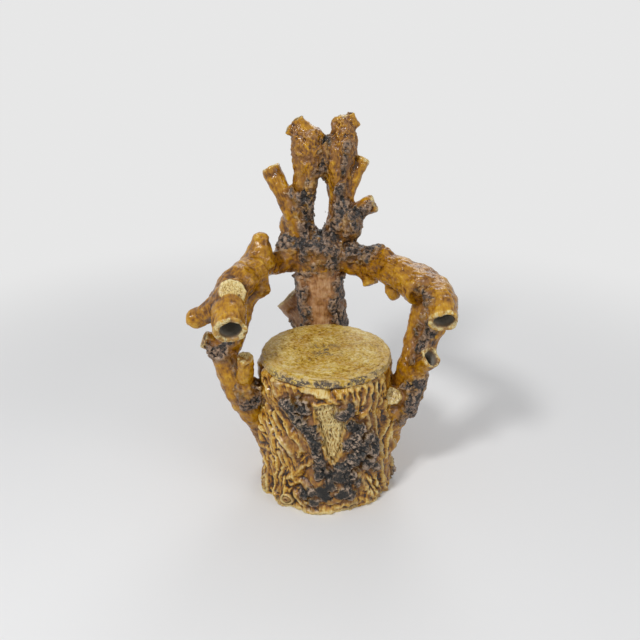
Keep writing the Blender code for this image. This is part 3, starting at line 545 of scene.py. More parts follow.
# Crust on the limbs: where its edge begins and ends, from the frame's crust, and its forms
CRUST_EDGE = (0.012, 0.005)
HEAP_WIDTH = 0.026
HEAP_HEIGHT = 0.013
LUMP_WIDTH = 0.0125
LUMP_HEIGHT = 0.0062
CRUMB_WIDTH = 0.007
CRUMB_HEIGHT = 0.0042
CRUST_SINK = 0.003


def crust_share(places, gap):
    """How much crust there is at places, from how far the frame's crust is."""
    ragged = waves(places, 0.03, 11) * (0.25 + 0.75 * ramp(gap, -0.004, 0.008))
    fine = value_noise(places, 0.01, 15) - 0.5
    return ramp(gap + 0.044 * ragged + 0.01 * fine, *CRUST_EDGE)


def crust_relief(places, crust):
    """Height of the crust's heaps, lumps and crumbs."""
    bent = places + 0.01 * sway(value_noise, places, 0.01, (21, 22, 23))
    lumps, pick = grains(bent, LUMP_WIDTH, 31)
    crumbs, small_pick = grains(bent, CRUMB_WIDTH, 41)
    heap = fbm(places, HEAP_WIDTH, 51, 2)
    lumps = lumps * ramp(crust - pick * 0.8, 0.0, 0.15)
    crumbs = crumbs * ramp(crust - small_pick * 0.7, 0.0, 0.15)
    relief = HEAP_HEIGHT * crust * (heap - 0.36) + LUMP_HEIGHT * lumps + CRUMB_HEIGHT * crumbs
    return relief - CRUST_SINK * crust


# Meshes; first rounds of smoothing, and how far crests then stand off the smoothed skin
CREST_DEPTHS = ((8, 0.0036), (40, 0.01))


def grid_piece(name, corners, faces):
    """An object from corners and faces."""
    mesh = bpy.data.meshes.new(name)
    mesh.from_pydata(corners.tolist(), [], faces)
    mesh.update()
    piece = bpy.data.objects.new(name, mesh)
    bpy.context.scene.collection.objects.link(piece)
    return piece


def ring_faces(rows, columns):
    """Faces between rings of corners; the last ring runs into the first one."""
    here = np.arange(rows * columns).reshape(rows, columns)
    below, right = np.roll(here, -1, 0), np.roll(here, -1, 1)
    return np.stack([here, below, np.roll(below, -1, 1), right], axis=-1)


def move_to(piece, places):
    """Put a piece's corners somewhere else."""
    piece.data.vertices.foreach_set("co", places.ravel())
    piece.data.update()


def edges_of(piece):
    """Pairs of corners that an edge joins."""
    return read(piece.data.edges, "vertices", 2, np.int64)


def soften(values, edges, rounds):
    """Even out values given at corners, with their neighbours'."""
    count = np.bincount(edges.ravel(), minlength=len(values)).astype(float)
    columns = values.reshape(len(values), -1).copy()
    for smoothing in range(rounds):
        for axis in range(columns.shape[1]):
            column = columns[:, axis]
            near = np.bincount(edges[:, 0], column[edges[:, 1]], len(column))
            near += np.bincount(edges[:, 1], column[edges[:, 0]], len(column))
            columns[:, axis] = (column + near / count) / 2
    return columns.reshape(values.shape)


def soft_normals(piece, edges):
    """A piece's normals at its corners, evened out."""
    return unit(soften(read(piece.data.vertices, "normal"), edges, 2))


def keep(piece, **layers):
    """Store values or vectors for each corner, for the material."""
    for name, values in layers.items():
        kind, key = ("FLOAT", "value") if values.ndim == 1 else ("FLOAT_VECTOR", "vector")
        layer = piece.data.attributes.new(name, kind, "POINT")
        layer.data.foreach_set(key, values.astype(np.float32).ravel())


def convexity(places, normals, edges):
    """From 0 in a groove to 1 on a crest."""
    share = 0.5
    for rounds, depth in CREST_DEPTHS:
        share = share + ((places - soften(places, edges, rounds)) * normals).sum(axis=1) / depth
    return np.clip(share, 0, 1)


# Clay of the limbs: grooves, folds and rims; each tube's grain is shifted, so that no two are alike
GRAIN_SHIFT = 0.37
SWELLING_WIDTH = 0.045
SWELLING_HEIGHT = 0.015
DENT_WIDTH = 0.02
DENT_HEIGHT = 0.0052
GROOVE_WIDTH = 0.009
GROOVE_HEIGHT = 0.0022
FOLD_WIDTH = 0.017
FOLD_HEIGHT = 0.008
CRINKLE_WIDTH = 0.011
CRINKLE_HEIGHT = 0.008
# Rounds of smoothing under crust and under plain glaze
CRUST_SMOOTHINGS = 1
GLAZE_SMOOTHINGS = 7


def along_tubes(places, normals, tubes):
    """What the nearest tube says of each place: grain, how far its cut end is, folds and crown; bores."""
    count = len(places)
    found = np.full((count, 7), np.inf)
    inside = np.zeros(count)
    for number, guide in enumerate(tubes):
        straight, gap, radius, off = guide.straighten(places)
        to_end = guide.lengths[-1] - straight[:, 0]
        end_gap = to_end if guide.end in ("sawn", "hollow") else np.ones(count)
        crown = ramp(straight[:, 0] / guide.lengths[-1], 0.62, 0.78)
        fold = np.full(count, guide.node in FOLDED)
        row = np.column_stack([np.abs(gap), straight + number * GRAIN_SHIFT, end_gap, fold, crown])
        found = np.where(row[:, :1] < found[:, :1], row, found)
        if guide.wall:
            reach = np.linalg.norm(straight[:, 1:], axis=1)
            inner = (reach < radius - guide.wall * 0.45) & (to_end > -0.003) & (to_end < BORE_DEPTH + 0.01)
            facing = (unit(off) * normals).sum(axis=1) < 0.3
            inside = np.where(inner & facing, np.clip((to_end + 0.002) / 0.022, 0, 1), inside)
    return found[:, 1:4], *found[:, 4:].T, inside


def limb_relief(places, grain, fold, crown):
    """Height of the limbs' bark: swellings, grooves along the grain and folds."""
    bent = grain + 0.008 * sway(fbm, places, 0.022, (145, 146, 147))
    groove = waves(bent * (1 / 4, 1, 1), GROOVE_WIDTH, 151)
    folds = ridged(bent * (1 / 2, 1, 1), FOLD_WIDTH, 181) - 0.6
    crinkle = ridged(bent * (1 / 1.3, 1, 1), CRINKLE_WIDTH, 185, 2) - 0.6
    relief = SWELLING_HEIGHT * waves(places, SWELLING_WIDTH, 141) + GROOVE_HEIGHT * groove
    relief = relief + (FOLD_HEIGHT * folds + CRINKLE_HEIGHT * crinkle * crown) * fold
    return relief + DENT_HEIGHT * waves(places, DENT_WIDTH, 191)


def dress(piece, skin, tubes, discs):
    """Give a skin its bark and brush marks, and keep what its glaze needs."""
    edges = edges_of(piece)
    raw = read(piece.data.vertices, "co")
    heaped = crust_share(raw, skin.gap_at(raw))[:, None]
    places = heaped * soften(raw, edges, CRUST_SMOOTHINGS)
    places += (1 - heaped) * soften(raw, edges, GLAZE_SMOOTHINGS)
    move_to(piece, places)
    normals = soft_normals(piece, edges)
    grain, end_gap, fold, crown, inside = along_tubes(places, normals, tubes)
    gap = skin.gap_at(places)
    crust = crust_share(places, gap) * (1 - np.clip(inside * 3, 0, 1))
    rim = ramp(np.abs(end_gap) + 0.012 * waves(places, 0.016, 12), 0.009, 0.003)
    face = np.max([np.zeros(len(places)), *(disc.share(places) for disc in discs)], axis=0)
    fine, tint = grains(places, 0.0046, 131)
    relief = (1 - crust) * limb_relief(places, grain, fold, crown) + crust * 0.0012 * fine
    relief *= 1 - 0.8 * np.clip(inside * 2, 0, 1)
    relief += 0.005 * rim * (fbm(places, 0.012, 195) - 0.55)
    places = np.clip(places + normals * relief[:, None], *CAD_BOX)
    move_to(piece, places)
    chipped = 0.12 + 0.88 * ramp(fbm(places, 0.009, 196), 0.45, 0.53)
    slip = ramp(gap + 0.05 * waves(places, 0.028, 201), 0.018, 0.002)
    slip = np.maximum(slip, (0.55 + 0.4 * crown) * fold * ramp(fbm(places, 0.03, 202), 0.34, 0.5))
    slip = np.maximum(slip, 0.24 * ramp(fbm(places, 0.045, 203), 0.58, 0.68))
    keep(
        piece,
        grain=grain,
        crust=crust,
        pale=np.maximum(rim * (1 - crust) * chipped, face),
        hollow=inside,
        height=convexity(places, normals, edges) - 0.13 * fold * (1 - crust),
        shade=grains(places, 0.011, 41)[1] * 0.65 + 0.35 * tint,
        slip=slip * (1 - crust) * (1 - np.maximum(rim, face)),
    )


# Stump: bark strands as the photo shows them, in its pixels

# Half width in pixels, height in metres, how pale, and the points of the strand's crest
STRANDS = (
    (3.0, 0.009, 0.9, ((272, 380), (276, 390), (281, 402))),
    (2.6, 0.007, 0.3, ((266, 382), (269, 395), (272, 406))),
    (3.6, 0.010, 0.7, ((266, 404), (270, 418), (277, 432), (286, 446), (291, 452))),
    (3.0, 0.009, 0.9, ((275, 404), (281, 418), (287, 428), (292, 438))),
    (2.6, 0.008, 0.2, ((283, 411), (290, 421), (298, 431), (305, 441), (312, 454))),
    (3.4, 0.009, 0.9, ((294, 436), (300, 444), (302, 451), (298, 458))),
    (2.4, 0.008, 0.3, ((261, 384), (263, 400), (263, 415), (266, 430))),
    (3.0, 0.010, 0.2, ((256, 432), (264, 441), (271, 449), (277, 458), (279, 468))),
    (2.6, 0.008, 0.4, ((262, 447), (267, 456), (270, 466))),
    (3.8, 0.010, 0.1, ((271, 470), (272, 482), (273, 495))),
    (2.6, 0.008, 0.8, ((281, 452), (284, 464), (281, 476), (280, 488))),
    (3.0, 0.009, 0.4, ((289, 449), (293, 459), (298, 468))),
    (3.6, 0.013, 0.6, ((291, 476), (300, 470), (307, 464), (314, 459))),
    (3.2, 0.009, 0.6, ((292, 483), (301, 481), (309, 486), (306, 494))),
    (2.8, 0.009, 0.5, ((297, 492), (302, 500), (307, 508))),
    (4.2, 0.012, 0.9, ((303, 391), (314, 393), (325, 396), (335, 401))),
    (3.4, 0.010, 0.6, ((316, 404), (326, 406), (334, 409))),
    (3.2, 0.010, 0.5, ((334, 389), (340, 397), (345, 405))),
    (2.6, 0.008, 0.4, ((345, 384), (347, 394), (346, 402))),
    (3.0, 0.010, 0.9, ((351, 385), (353, 396), (356, 408))),
    (2.4, 0.008, 0.1, ((358, 385), (358, 398), (356, 414))),
    (2.8, 0.009, 0.8, ((365, 383), (366, 392), (362, 403))),
    (2.8, 0.010, 0.5, ((371, 383), (370, 398), (367, 410), (361, 418))),
    (2.6, 0.009, 0.7, ((377, 383), (376, 400), (374, 412))),
    (2.4, 0.009, 0.5, ((384, 383), (383, 396), (381, 406))),
    (3.6, 0.011, 0.5, ((366, 414), (369, 421), (368, 429))),
    (2.8, 0.009, 0.5, ((376, 414), (378, 426), (379, 438))),
    (2.8, 0.010, 0.6, ((384, 402), (386, 416), (384, 430), (382, 440))),
    (3.4, 0.013, 0.9, ((381, 443), (380, 458), (379, 474), (381, 488), (379, 500))),
    (4.2, 0.010, 0.7, ((360, 475), (364, 485), (370, 495))),
    (2.2, 0.010, 0.9, ((366, 476), (371, 486), (377, 497))),
    (4.6, 0.011, 1.0, ((306, 507), (318, 510), (331, 509))),
    (4.2, 0.010, 0.9, ((334, 507), (345, 503), (357, 500))),
    (3.6, 0.009, 0.8, ((364, 499), (374, 499), (381, 494))),
    (4.0, 0.009, 0.9, ((284, 502), (295, 504), (303, 506))),
)
# Heaps of crust: place in pixels and reach in pixels
CRUST_SPOTS = (
    (287, 404, 5), (294, 407, 6), (301, 402, 5), (305, 409, 5), (293, 414, 5), (301, 420, 8), (306, 428, 6),
    (313, 430, 6), (312, 438, 6), (316, 445, 6), (317, 453, 5), (320, 461, 6), (324, 470, 7), (318, 474, 4),
    (336, 411, 4), (342, 413, 6), (348, 409, 5), (349, 427, 5), (358, 430, 7), (368, 436, 7), (375, 441, 5),
    (354, 442, 7), (347, 447, 6), (361, 448, 8), (371, 450, 7), (356, 457, 6), (366, 461, 7), (373, 466, 5),
    (348, 464, 6), (340, 467, 6), (335, 472, 6), (344, 475, 7), (352, 473, 6), (356, 481, 4),
    (345, 486, 6), (340, 492, 5), (350, 490, 5), (330, 484, 6), (322, 488, 6), (313, 489, 5), (306, 492, 4),
    (326, 494, 5), (314, 498, 4), (330, 478, 5), (390, 470, 5), (388, 480, 5), (391, 460, 3), (385, 489, 4),
)
# Knots: place in pixels, half width and half height
KNOTS = (((290, 496), (0.017, 0.017)), ((301, 419), (0.013, 0.013)),
         ((271, 481), (0.013, 0.030)), ((391, 461), (0.015, 0.014)))
# Cream panel, in pixels: level, left and right side
PANEL_PIXELS = ((404, 314, 330), (412, 314, 345), (424, 318, 346), (436, 321, 343), (448, 324, 342),
                (458, 327, 338), (464, 331, 334))
# Size of a pixel on the stump's front, and how softly crust spots run together
PIXEL = 0.0028
MERGE = 0.0035
# End of the wall that isn't measured, and rounds of smoothing the rest
WALL_END = 0.002
WALL_SMOOTHINGS = 14
# Bark: its strands on the sides, wrinkles and rough places; flares round what grows from it
BARK_WIDTH = 0.048
BARK_HEIGHT = 0.022
WRINKLE_HEIGHT = 0.0036
ROUGH_HEIGHT = 0.013
LOW_LUMP_WIDTH = 0.034
LOW_LUMP_HEIGHT = 0.014
POST_FLARE = 0.016
TRUNK_FLARE = 0.01
ROOT_FLARE = 0.008
DEEPEST = -0.013
# Crust on the stump: its forms
STUMP_HEAP_WIDTH = 0.024
STUMP_HEAP_HEIGHT = 0.024
STUMP_LUMP_WIDTH = 0.013
STUMP_LUMP_HEIGHT = 0.007
STUMP_CRUMB_WIDTH = 0.0062
STUMP_CRUMB_HEIGHT = 0.0045


def on_stump(right, down):
    """Place on the stump that a pixel shows: arc from the front, and height."""
    pitch = radians(CAMERA_PITCH)
    focal = CAMERA_LENS / SENSOR * PHOTO_SIDE
    right, up = (right - PHOTO_SIDE / 2) / focal, (PHOTO_SIDE / 2 - down) / focal
    ray = np.array([right, np.cos(pitch) + up * np.sin(pitch), up * np.cos(pitch) - np.sin(pitch)])
    start = np.array(CAMERA_OFFSET)
    a = ray[:2] @ ray[:2]
    half = ray[:2] @ start
    rest = start @ start - STUMP_RADIUS ** 2
    reach = (-half - np.sqrt(max(half * half - a * rest, 0))) / a
    place = start + reach * ray[:2]
    return np.array([np.arctan2(place[0], -place[1]) * STUMP_RADIUS, CAMERA_HEIGHT + reach * ray[2]])


def strand_relief(spots, swell):
    """Height and paleness that the strands give to places on the unrolled stump, and how far they cover."""
    heights, pale, cover = np.zeros((3, len(spots)))
    for half, height, light, pixels in STRANDS:
        line = np.array([on_stump(*pixel) for pixel in pixels])
        gap = np.full(len(spots), np.inf)
        for first, step in zip(line, np.diff(line, axis=0)):
            share = np.clip((spots - first) @ step / (step @ step), 0, 1)
            gap = np.minimum(gap, np.linalg.norm(spots - first - share[:, None] * step, axis=1))
        part = gap / (1.35 * half * PIXEL * swell)
        heights += (height * swell * np.exp(-1.3 * part ** 1.6)) ** 3
        pale = np.maximum(pale, light * ramp(part, 0.75, 0.1))
        cover = np.maximum(cover, 1 - ramp(part, 1.1, 1.9))
    return np.cbrt(heights), pale, cover


def spot_gap(spots, places):
    """How far places on the unrolled stump are from round spots, in metres; negative inside them."""
    total = np.full(len(places), 1e-30)
    for *pixel, reach in spots:
        gap = np.linalg.norm(places - on_stump(*pixel), axis=1)
        total += np.exp(-(gap - 1.1 * reach * PIXEL) / MERGE)
    return -MERGE * np.log(total)


def panel_share(spots, ragged):
    """1 on the cream panel, 0 off it."""
    left, right = (np.array([on_stump(row[side], row[0]) for row in PANEL_PIXELS]) for side in (1, 2))
    level = -spots[:, 1]
    low = np.interp(level, -left[:, 1], left[:, 0])
    high = np.interp(level, -right[:, 1], right[:, 0])
    inside = np.minimum(spots[:, 0] - low, high - spots[:, 0])
    inside = np.minimum(inside, np.minimum(level + left[0, 1], -level - left[-1, 1]) * 0.8)
    return ramp(inside + 0.008 * ragged, -0.001, 0.004)


def drum_radius(way, z):
    """Smoothed radius of the frame's stump for each turn and level."""
    tree = tree_of(["stump_wall"])
    mean = np.empty(z.shape)
    reach = 2 * SEAT_RADIUS
    for index in np.ndindex(z.shape):
        x, y = way[index]
        low = min(max(z[index], WALL_END), SEAT_BOTTOM - WALL_END)
        hit = tree.ray_cast((AXIS[0] + x * reach, AXIS[1] + y * reach, low), (-x, -y, 0))
        mean[index] = reach - hit[3]
    for smoothing in range(WALL_SMOOTHINGS):
        mean = (np.roll(mean, 1, 1) + 2 * mean + np.roll(mean, -1, 1)) / 4
        mean[1:-1] = (mean[:-2] + 2 * mean[1:-1] + mean[2:]) / 4
    return mean


def wild_bark(flat, arc, degrees):
    """Bark of wandering strands for the sides that the photo doesn't show; also fine wood for all."""
    z = flat[:, 2]
    lean = 0.55 * ramp(degrees, -5, -60) * ramp(degrees, -120, -75)
    lean -= 0.25 * ramp(degrees, 10, 60) * ramp(degrees, 130, 80)
    wander = 0.03 * waves(flat, 0.1, 21) + 0.012 * waves(flat, 0.03, 22)
    ring = (arc - lean * (SEAT_BOTTOM - z) + wander) / SEAT_RADIUS
    wood = np.stack([np.cos(ring) * SEAT_RADIUS, np.sin(ring) * SEAT_RADIUS, z / 4.5], axis=-1)
    broad = ridged(wood, BARK_WIDTH, 31, 2) ** 1.3
    narrow = ridged(wood * (1, 1, 1.4), 0.016, 41, 2)
    relief = BARK_HEIGHT * (broad - 0.52) + WRINKLE_HEIGHT * (narrow - 0.6)
    return relief + ROUGH_HEIGHT * waves(flat, 0.028, 51), ring, wood


def stump_crust(flat, bent, ragged):
    """Crust on the stump: how far off its edge is, its share, its height and its grains' tint."""
    fine = value_noise(flat, 0.007, 12) - 0.5
    gap = np.minimum(spot_gap(CRUST_SPOTS, bent), distances(flat, ["right_root"]) + 0.01)
    share = ramp(gap + 0.022 * ragged + 0.008 * fine, 0.004, -0.002)
    warped = flat + 0.012 * sway(value_noise, flat, 0.01, (24, 25, 26))
    lumps, shade = grains(warped, STUMP_LUMP_WIDTH, 91)
    crumbs, tint = grains(warped, STUMP_CRUMB_WIDTH, 95)
    height = 0.001 + STUMP_HEAP_HEIGHT * (fbm(flat, STUMP_HEAP_WIDTH, 101) - 0.42)
    height = height + STUMP_LUMP_HEIGHT * lumps + STUMP_CRUMB_HEIGHT * crumbs
    return gap, share, height + 0.007 * ramp(gap, 0.004, -0.01), 0.4 * shade + 0.6 * tint


def stump_bark(flat, bent, wild, wood, degrees):
    """Height of the bark, with the photo's strands in front; how far they cover and how pale they are."""
    swell = 0.55 + 0.9 * fbm(flat, 0.024, 17, 2)
    drawn, pale, cover = strand_relief(bent, swell)
    wrinkles = ridged(wood * (1, 1, 1.3), 0.015, 63, 2)
    front = cover * ramp(np.abs(degrees), 88, 72)
    small = WRINKLE_HEIGHT * (wrinkles - 0.62) + ROUGH_HEIGHT * waves(flat, 0.022, 62)
    bark = front * (1.25 * drawn - 0.005 + small) + (1 - front) * wild
    low_lumps = ramp(flat[:, 2] / SEAT_BOTTOM, 0.1, 0.01) * (1 - front)
    lumpy = low_lumps * LOW_LUMP_HEIGHT * (fbm(flat, LOW_LUMP_WIDTH, 71) - 0.45)
    return bark * (1 - 0.4 * low_lumps) + lumpy, front, pale


def carve(bark, flat, wood, spots, panel):
    """Bark with the panel's fine wood and the knots' rings in it; the wood, and where the knots are."""
    hair = ridged(wood * (1, 1, 2), 0.0058, 81, 1)
    split = -0.0045 + 0.0028 * (hair - 0.5) + 0.0025 * waves(flat, 0.03, 82)
    bark = bark * (1 - panel) + panel * split
    gap = np.min([np.linalg.norm((spots - on_stump(*pixel)) / halves, axis=1)
                  for pixel, halves in KNOTS], axis=0)
    knot = 1 - ramp(gap, 0.9, 1.25)
    rings = 0.01 - 0.004 * np.cos(gap * 9.0) - 0.006 * ramp(gap, 0.35, 0.1)
    return bark * (1 - knot) + knot * rings, hair, gap, knot


def stump_flares(relief, flat):
    """Relief with flares where posts, trunk and roots grow from the stump, and an even edge at its top."""
    def near(width, *nodes):
        return ramp(distances(flat, nodes), width, 0.0)

    below = SEAT_BOTTOM - flat[:, 2]
    relief = relief + (POST_FLARE * near(0.04, "left_post_lower", "right_post_lower") ** 2
                       + TRUNK_FLARE * near(0.03, "back_trunk") ** 2)
    relief += ROOT_FLARE * near(0.03, "left_root", "right_root")
    relief *= ramp(below, 0, 0.014) * 0.8 + 0.2
    return relief - 0.005 * ramp(np.abs(below - 0.006), 0.008, 0.0)


def inside_box(radius, way):
    """Radius held inside the frame's box."""
    for side, sign in ((0, -1), (1, 1)):
        for axis in (0, 1):
            room = sign * (CAD_BOX[side][axis] - AXIS[axis]) - BOX_MARGIN
            radius = np.minimum(radius, room / np.maximum(sign * way[..., axis], 0.01))
    return radius


def drum_mesh(way, outer, z):
    """Closed stump: its outer side, and an inner side and foot of a few rings."""
    inner = SEAT_RADIUS - STUMP_WALL
    rings = ((inner + FOOT_ROUND, 0), (inner, FOOT_ROUND),
             (inner, SEAT_BOTTOM / 2), (inner, SEAT_BOTTOM - SEAM))
    radius, levels = (np.concatenate([side, np.repeat(ends, STUMP_COLUMNS).reshape(-1, STUMP_COLUMNS)])
                      for side, ends in zip((outer, z), zip(*rings)))
    corners = np.dstack([AXIS + way[0] * radius[..., None], levels]).reshape(-1, 3)
    faces = ring_faces(*radius.shape).reshape(-1, 4)
    return corners, grid_piece("stump_bark", corners, faces.tolist())


def make_stump():
    """Hollow stump with carved bark, as one closed grid round the seat's axis."""
    turn = np.linspace(0, 2 * pi, STUMP_COLUMNS, endpoint=False)
    turn = turn - FRONT_DENSITY * np.sin(turn)
    angle, level = np.meshgrid(turn, np.linspace(SEAT_BOTTOM - SEAM, 0, STUMP_ROWS))
    way = np.stack([np.sin(angle), -np.cos(angle)], axis=-1)
    mean = drum_radius(way, level)
    flat = np.dstack([AXIS + way * mean[..., None], level]).reshape(-1, 3)
    z = flat[:, 2]
    degrees = np.degrees((angle + pi) % (2 * pi) - pi).ravel()
    arc = np.radians(degrees) * STUMP_RADIUS
    spots = np.stack([arc, z], axis=-1)
    bent = spots + 0.014 * sway(fbm, flat, 0.018, (13, 14))
    ragged = waves(flat, 0.02, 11)

    crust_gap, crust, crust_height, shade = stump_crust(flat, bent, ragged)
    wild, ring, wood = wild_bark(flat, arc, degrees)
    bark, front, drawn_pale = stump_bark(flat, bent, wild, wood, degrees)
    panel = panel_share(bent, ragged) * (1 - crust)
    bark, hair, knot_gap, knot = carve(bark, flat, wood, spots, panel)
    relief = stump_flares(crust * crust_height + (1 - crust) * bark, flat)
    outer = inside_box(mean + np.maximum(relief, DEEPEST).reshape(mean.shape), way)
    corners, piece = drum_mesh(way, outer, level)

    edge = 0.8 * ramp(z / SEAT_BOTTOM + 0.05 * ragged, 0.03, 0.004) * (1 - crust)
    chipped = ramp(fbm(flat, 0.012, 64), 0.42, 0.56)
    streaked = ramp(hair + 0.5 * waves(flat, 0.012, 65), 0.3, 0.62)
    pale = np.maximum.reduce([panel * (0.35 + 0.6 * streaked), edge * chipped,
                              0.5 * drawn_pale * chipped * front * (1 - crust),
                              0.7 * knot * ramp(knot_gap, 0.45, 0.75) * (1 - 0.85 * crust)])
    slip = ramp(crust_gap + 0.05 * waves(flat, 0.03, 111), 0.026, 0.006) * (1 - crust) * (1 - panel)
    pink = ramp(fbm(flat, 0.05, 112), 0.56, 0.66) * 0.7 * (1 - crust) * (1 - panel)
    pink = np.maximum(pink, 0.9 * knot * ramp(knot_gap, 0.75, 0.45))
    edges = edges_of(piece)

    def whole(values, fill=0.0):
        """Values of the outer side, with a fill for the corners of the inner side."""
        return np.concatenate([values, np.full((len(corners) - len(values), *values.shape[1:]), fill)])

    keep(
        piece,
        grain=whole(np.stack([z, np.cos(ring) * SEAT_RADIUS, np.sin(ring) * SEAT_RADIUS], axis=-1)),
        crust=whole(crust),
        pale=whole(np.clip(pale, 0, 1)),
        hollow=whole(np.zeros(z.size), 1.0),
        height=convexity(corners, soft_normals(piece, edges), edges),
        shade=whole(shade),
        slip=whole(np.clip(np.maximum(slip, pink), 0, 1)),
    )
    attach(piece, "root")
    names = [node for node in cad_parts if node.startswith("stump") or node.endswith("root")]
    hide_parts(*names)
    return piece


# Seat

def brush_strokes(places, radius, x, y):
    """Short brush strokes that run round the seat, from 0 to 1."""
    bent = radius + 0.01 * waves(places, 0.06, 5)
    lanes = np.stack([bent, x * 0.045, y * 0.045], axis=-1)
    broad = fbm(lanes, 0.0075, 11, 2)
    thin = fbm(lanes * (1, 1.5, 1.5), 0.0036, 12, 2)
    return np.clip(0.5 + 1.5 * (0.6 * broad + 0.4 * thin - 0.5), 0, 1)


def seat_outline():
    """Radius and drop of the seat's rings: top, rounded edge, side and underside."""
    thick = SEAT_TOP - SEAT_BOTTOM
    outline = [(radius, 0.0) for radius in np.linspace(SEAT_MIDDLE, SEAT_RADIUS - SEAT_LIP, SEAT_RINGS)]
    outline += [(SEAT_RADIUS - SEAT_LIP + SEAT_LIP * np.sin(turn), -SEAT_LIP * (1 - np.cos(turn)))
                for turn in np.linspace(0, pi / 2, 7)[1:]]
    outline += [(SEAT_RADIUS, drop) for drop in np.linspace(-SEAT_LIP, -thick + SEAT_LIP / 2, 9)[1:]]
    outline += [(SEAT_RADIUS - SEAT_LIP / 2, -thick), (SEAT_RADIUS - 3 * SEAT_LIP, -thick)]
    outline.append((SEAT_MIDDLE, -thick))
    return np.array(outline)


def make_seat():
    """Round slab with brushed glaze and a worn edge, as one closed grid."""
    thick = SEAT_TOP - SEAT_BOTTOM
    outline = seat_outline()
    radius, drop = np.repeat(outline, SEAT_COLUMNS, axis=0).T
    angle = np.tile(np.linspace(0, 2 * pi, SEAT_COLUMNS, endpoint=False), len(outline))
    x, y = np.sin(angle), -np.cos(angle)
    places = np.stack([x * radius, y * radius, drop], axis=-1)
    top = ramp(drop, -thick * 0.9, -thick * 0.5)
    strokes = brush_strokes(places, radius, x, y)
    rim = ramp(radius, SEAT_RADIUS - 0.022, SEAT_RADIUS - 0.006)
    wall = ramp(drop, -0.001, -0.004)
    chips = fbm(places, 0.013, 31)
    front = ramp(-y, -0.2, 0.8)
    worn = np.maximum(rim * ramp(chips, 0.5, 0.6), wall * ramp(chips, 0.44, 0.52))
    dip = 0.0014 * (1 - fbm(places, 0.05, 21)) + 0.0008 * (1 - strokes) + worn * 0.0012
    dip += 0.0022 * rim * fbm(places, 0.035, 41) + 0.001 * fbm(places, 0.01, 42)
    radius = radius - (0.0045 * rim * fbm(places, 0.022, 51, 2) * top + 0.0015 * worn * wall)
    corners = np.stack([AXIS[0] + x * radius, AXIS[1] + y * radius, SEAT_TOP + drop - dip * top], axis=-1)
    faces = ring_faces(len(outline), SEAT_COLUMNS)[:-1].reshape(-1, 4).tolist()
    ring = list(range(SEAT_COLUMNS))
    faces += [ring[::-1], [corner + len(corners) - SEAT_COLUMNS for corner in ring]]
    piece = grid_piece("seat_glazed", corners, faces)

    near_rim = ramp(radius, SEAT_RADIUS - 0.06, SEAT_RADIUS - 0.012)
    rubbed = 0.35 * near_rim * ramp(chips, 0.44, 0.56) * (0.2 + 0.8 * front)
    edge = ramp(radius, SEAT_RADIUS - 0.014, SEAT_RADIUS - 0.005)
    patches = ramp(fbm(places, 0.03, 61), 0.42, 0.47)
    bare = np.maximum(edge * ramp(chips, 0.62, 0.5), wall) * patches * ramp(-y, 0.3, 0.8)
    middle = 0.9 * ramp(radius, 0.07, 0.015) * ramp(fbm(places, 0.016, 71), 0.5, 0.6)
    lanes = [radius + 0.012 * fbm(places, 0.05, 5), x * SEAT_RADIUS / 2.6, y * SEAT_RADIUS / 2.6]
    keep(
        piece,
        lanes=np.stack(lanes, axis=-1),
        strokes=strokes,
        pale=np.clip(worn * (0.5 + 0.5 * front) + rubbed, 0, 1),
        bare=np.clip(bare + middle, 0, 1),
    )
    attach(piece, "root")
    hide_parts("seat_slab")
    return piece


# Materials

AMBER_STOPS = ((0.16, (0.030, 0.010, 0.001)), (0.30, (0.125, 0.042, 0.001)), (0.43, (0.32, 0.132, 0.001)),
               (0.57, (0.48, 0.230, 0.002)), (0.80, (0.70, 0.43, 0.045)))
UMBER_STOPS = ((0.20, (0.060, 0.028, 0.014)), (0.36, (0.22, 0.095, 0.035)), (0.50, (0.38, 0.185, 0.070)),
               (0.64, (0.50, 0.28, 0.13)), (0.82, (0.62, 0.40, 0.22)))
BARK_STOPS = ((0.16, (0.030, 0.012, 0.003)), (0.30, (0.16, 0.058, 0.005)), (0.44, (0.36, 0.152, 0.008)),
              (0.58, (0.48, 0.240, 0.020)), (0.75, (0.61, 0.37, 0.060)), (0.93, (0.77, 0.61, 0.26)))
LIMB_CRUST = ((0.18, (0.013, 0.010, 0.008)), (0.36, (0.056, 0.038, 0.028)), (0.54, (0.145, 0.094, 0.061)),
              (0.76, (0.245, 0.155, 0.098)), (0.96, (0.36, 0.25, 0.165)))
STUMP_CRUST = ((0.22, (0.007, 0.006, 0.005)), (0.40, (0.022, 0.018, 0.015)), (0.57, (0.080, 0.060, 0.042)),
               (0.74, (0.175, 0.118, 0.080)), (0.93, (0.40, 0.295, 0.215)))
CREAM_STOPS = ((0.28, (0.14, 0.072, 0.018)), (0.40, (0.46, 0.29, 0.065)), (0.52, (0.66, 0.50, 0.19)),
               (0.80, (0.76, 0.65, 0.34)))
SEAT_STOPS = ((0.26, (0.13, 0.065, 0.012)), (0.40, (0.37, 0.205, 0.020)), (0.52, (0.54, 0.345, 0.045)),
              (0.64, (0.66, 0.47, 0.115)), (0.80, (0.78, 0.66, 0.33)))
WORN_STOPS = ((0.30, (0.22, 0.12, 0.045)), (0.42, (0.50, 0.34, 0.13)), (0.56, (0.68, 0.54, 0.28)),
              (0.78, (0.80, 0.70, 0.46)))
BARE_STOPS = ((0.35, (0.05, 0.042, 0.038)), (0.65, (0.22, 0.17, 0.12)))
SPECK = (0.1, 0.045, 0.018, 1)
SLIP = (0.235, 0.105, 0.034, 1)
DIRT = (0.15, 0.085, 0.03, 1)
HOLLOW = (0.27, 0.245, 0.2, 1)
RUST = (0.42, 0.2, 0.018, 1)
PIT = (0.14, 0.075, 0.022, 1)
GLAZE_SHINE = 0.46
SEAT_SHINE = 0.12


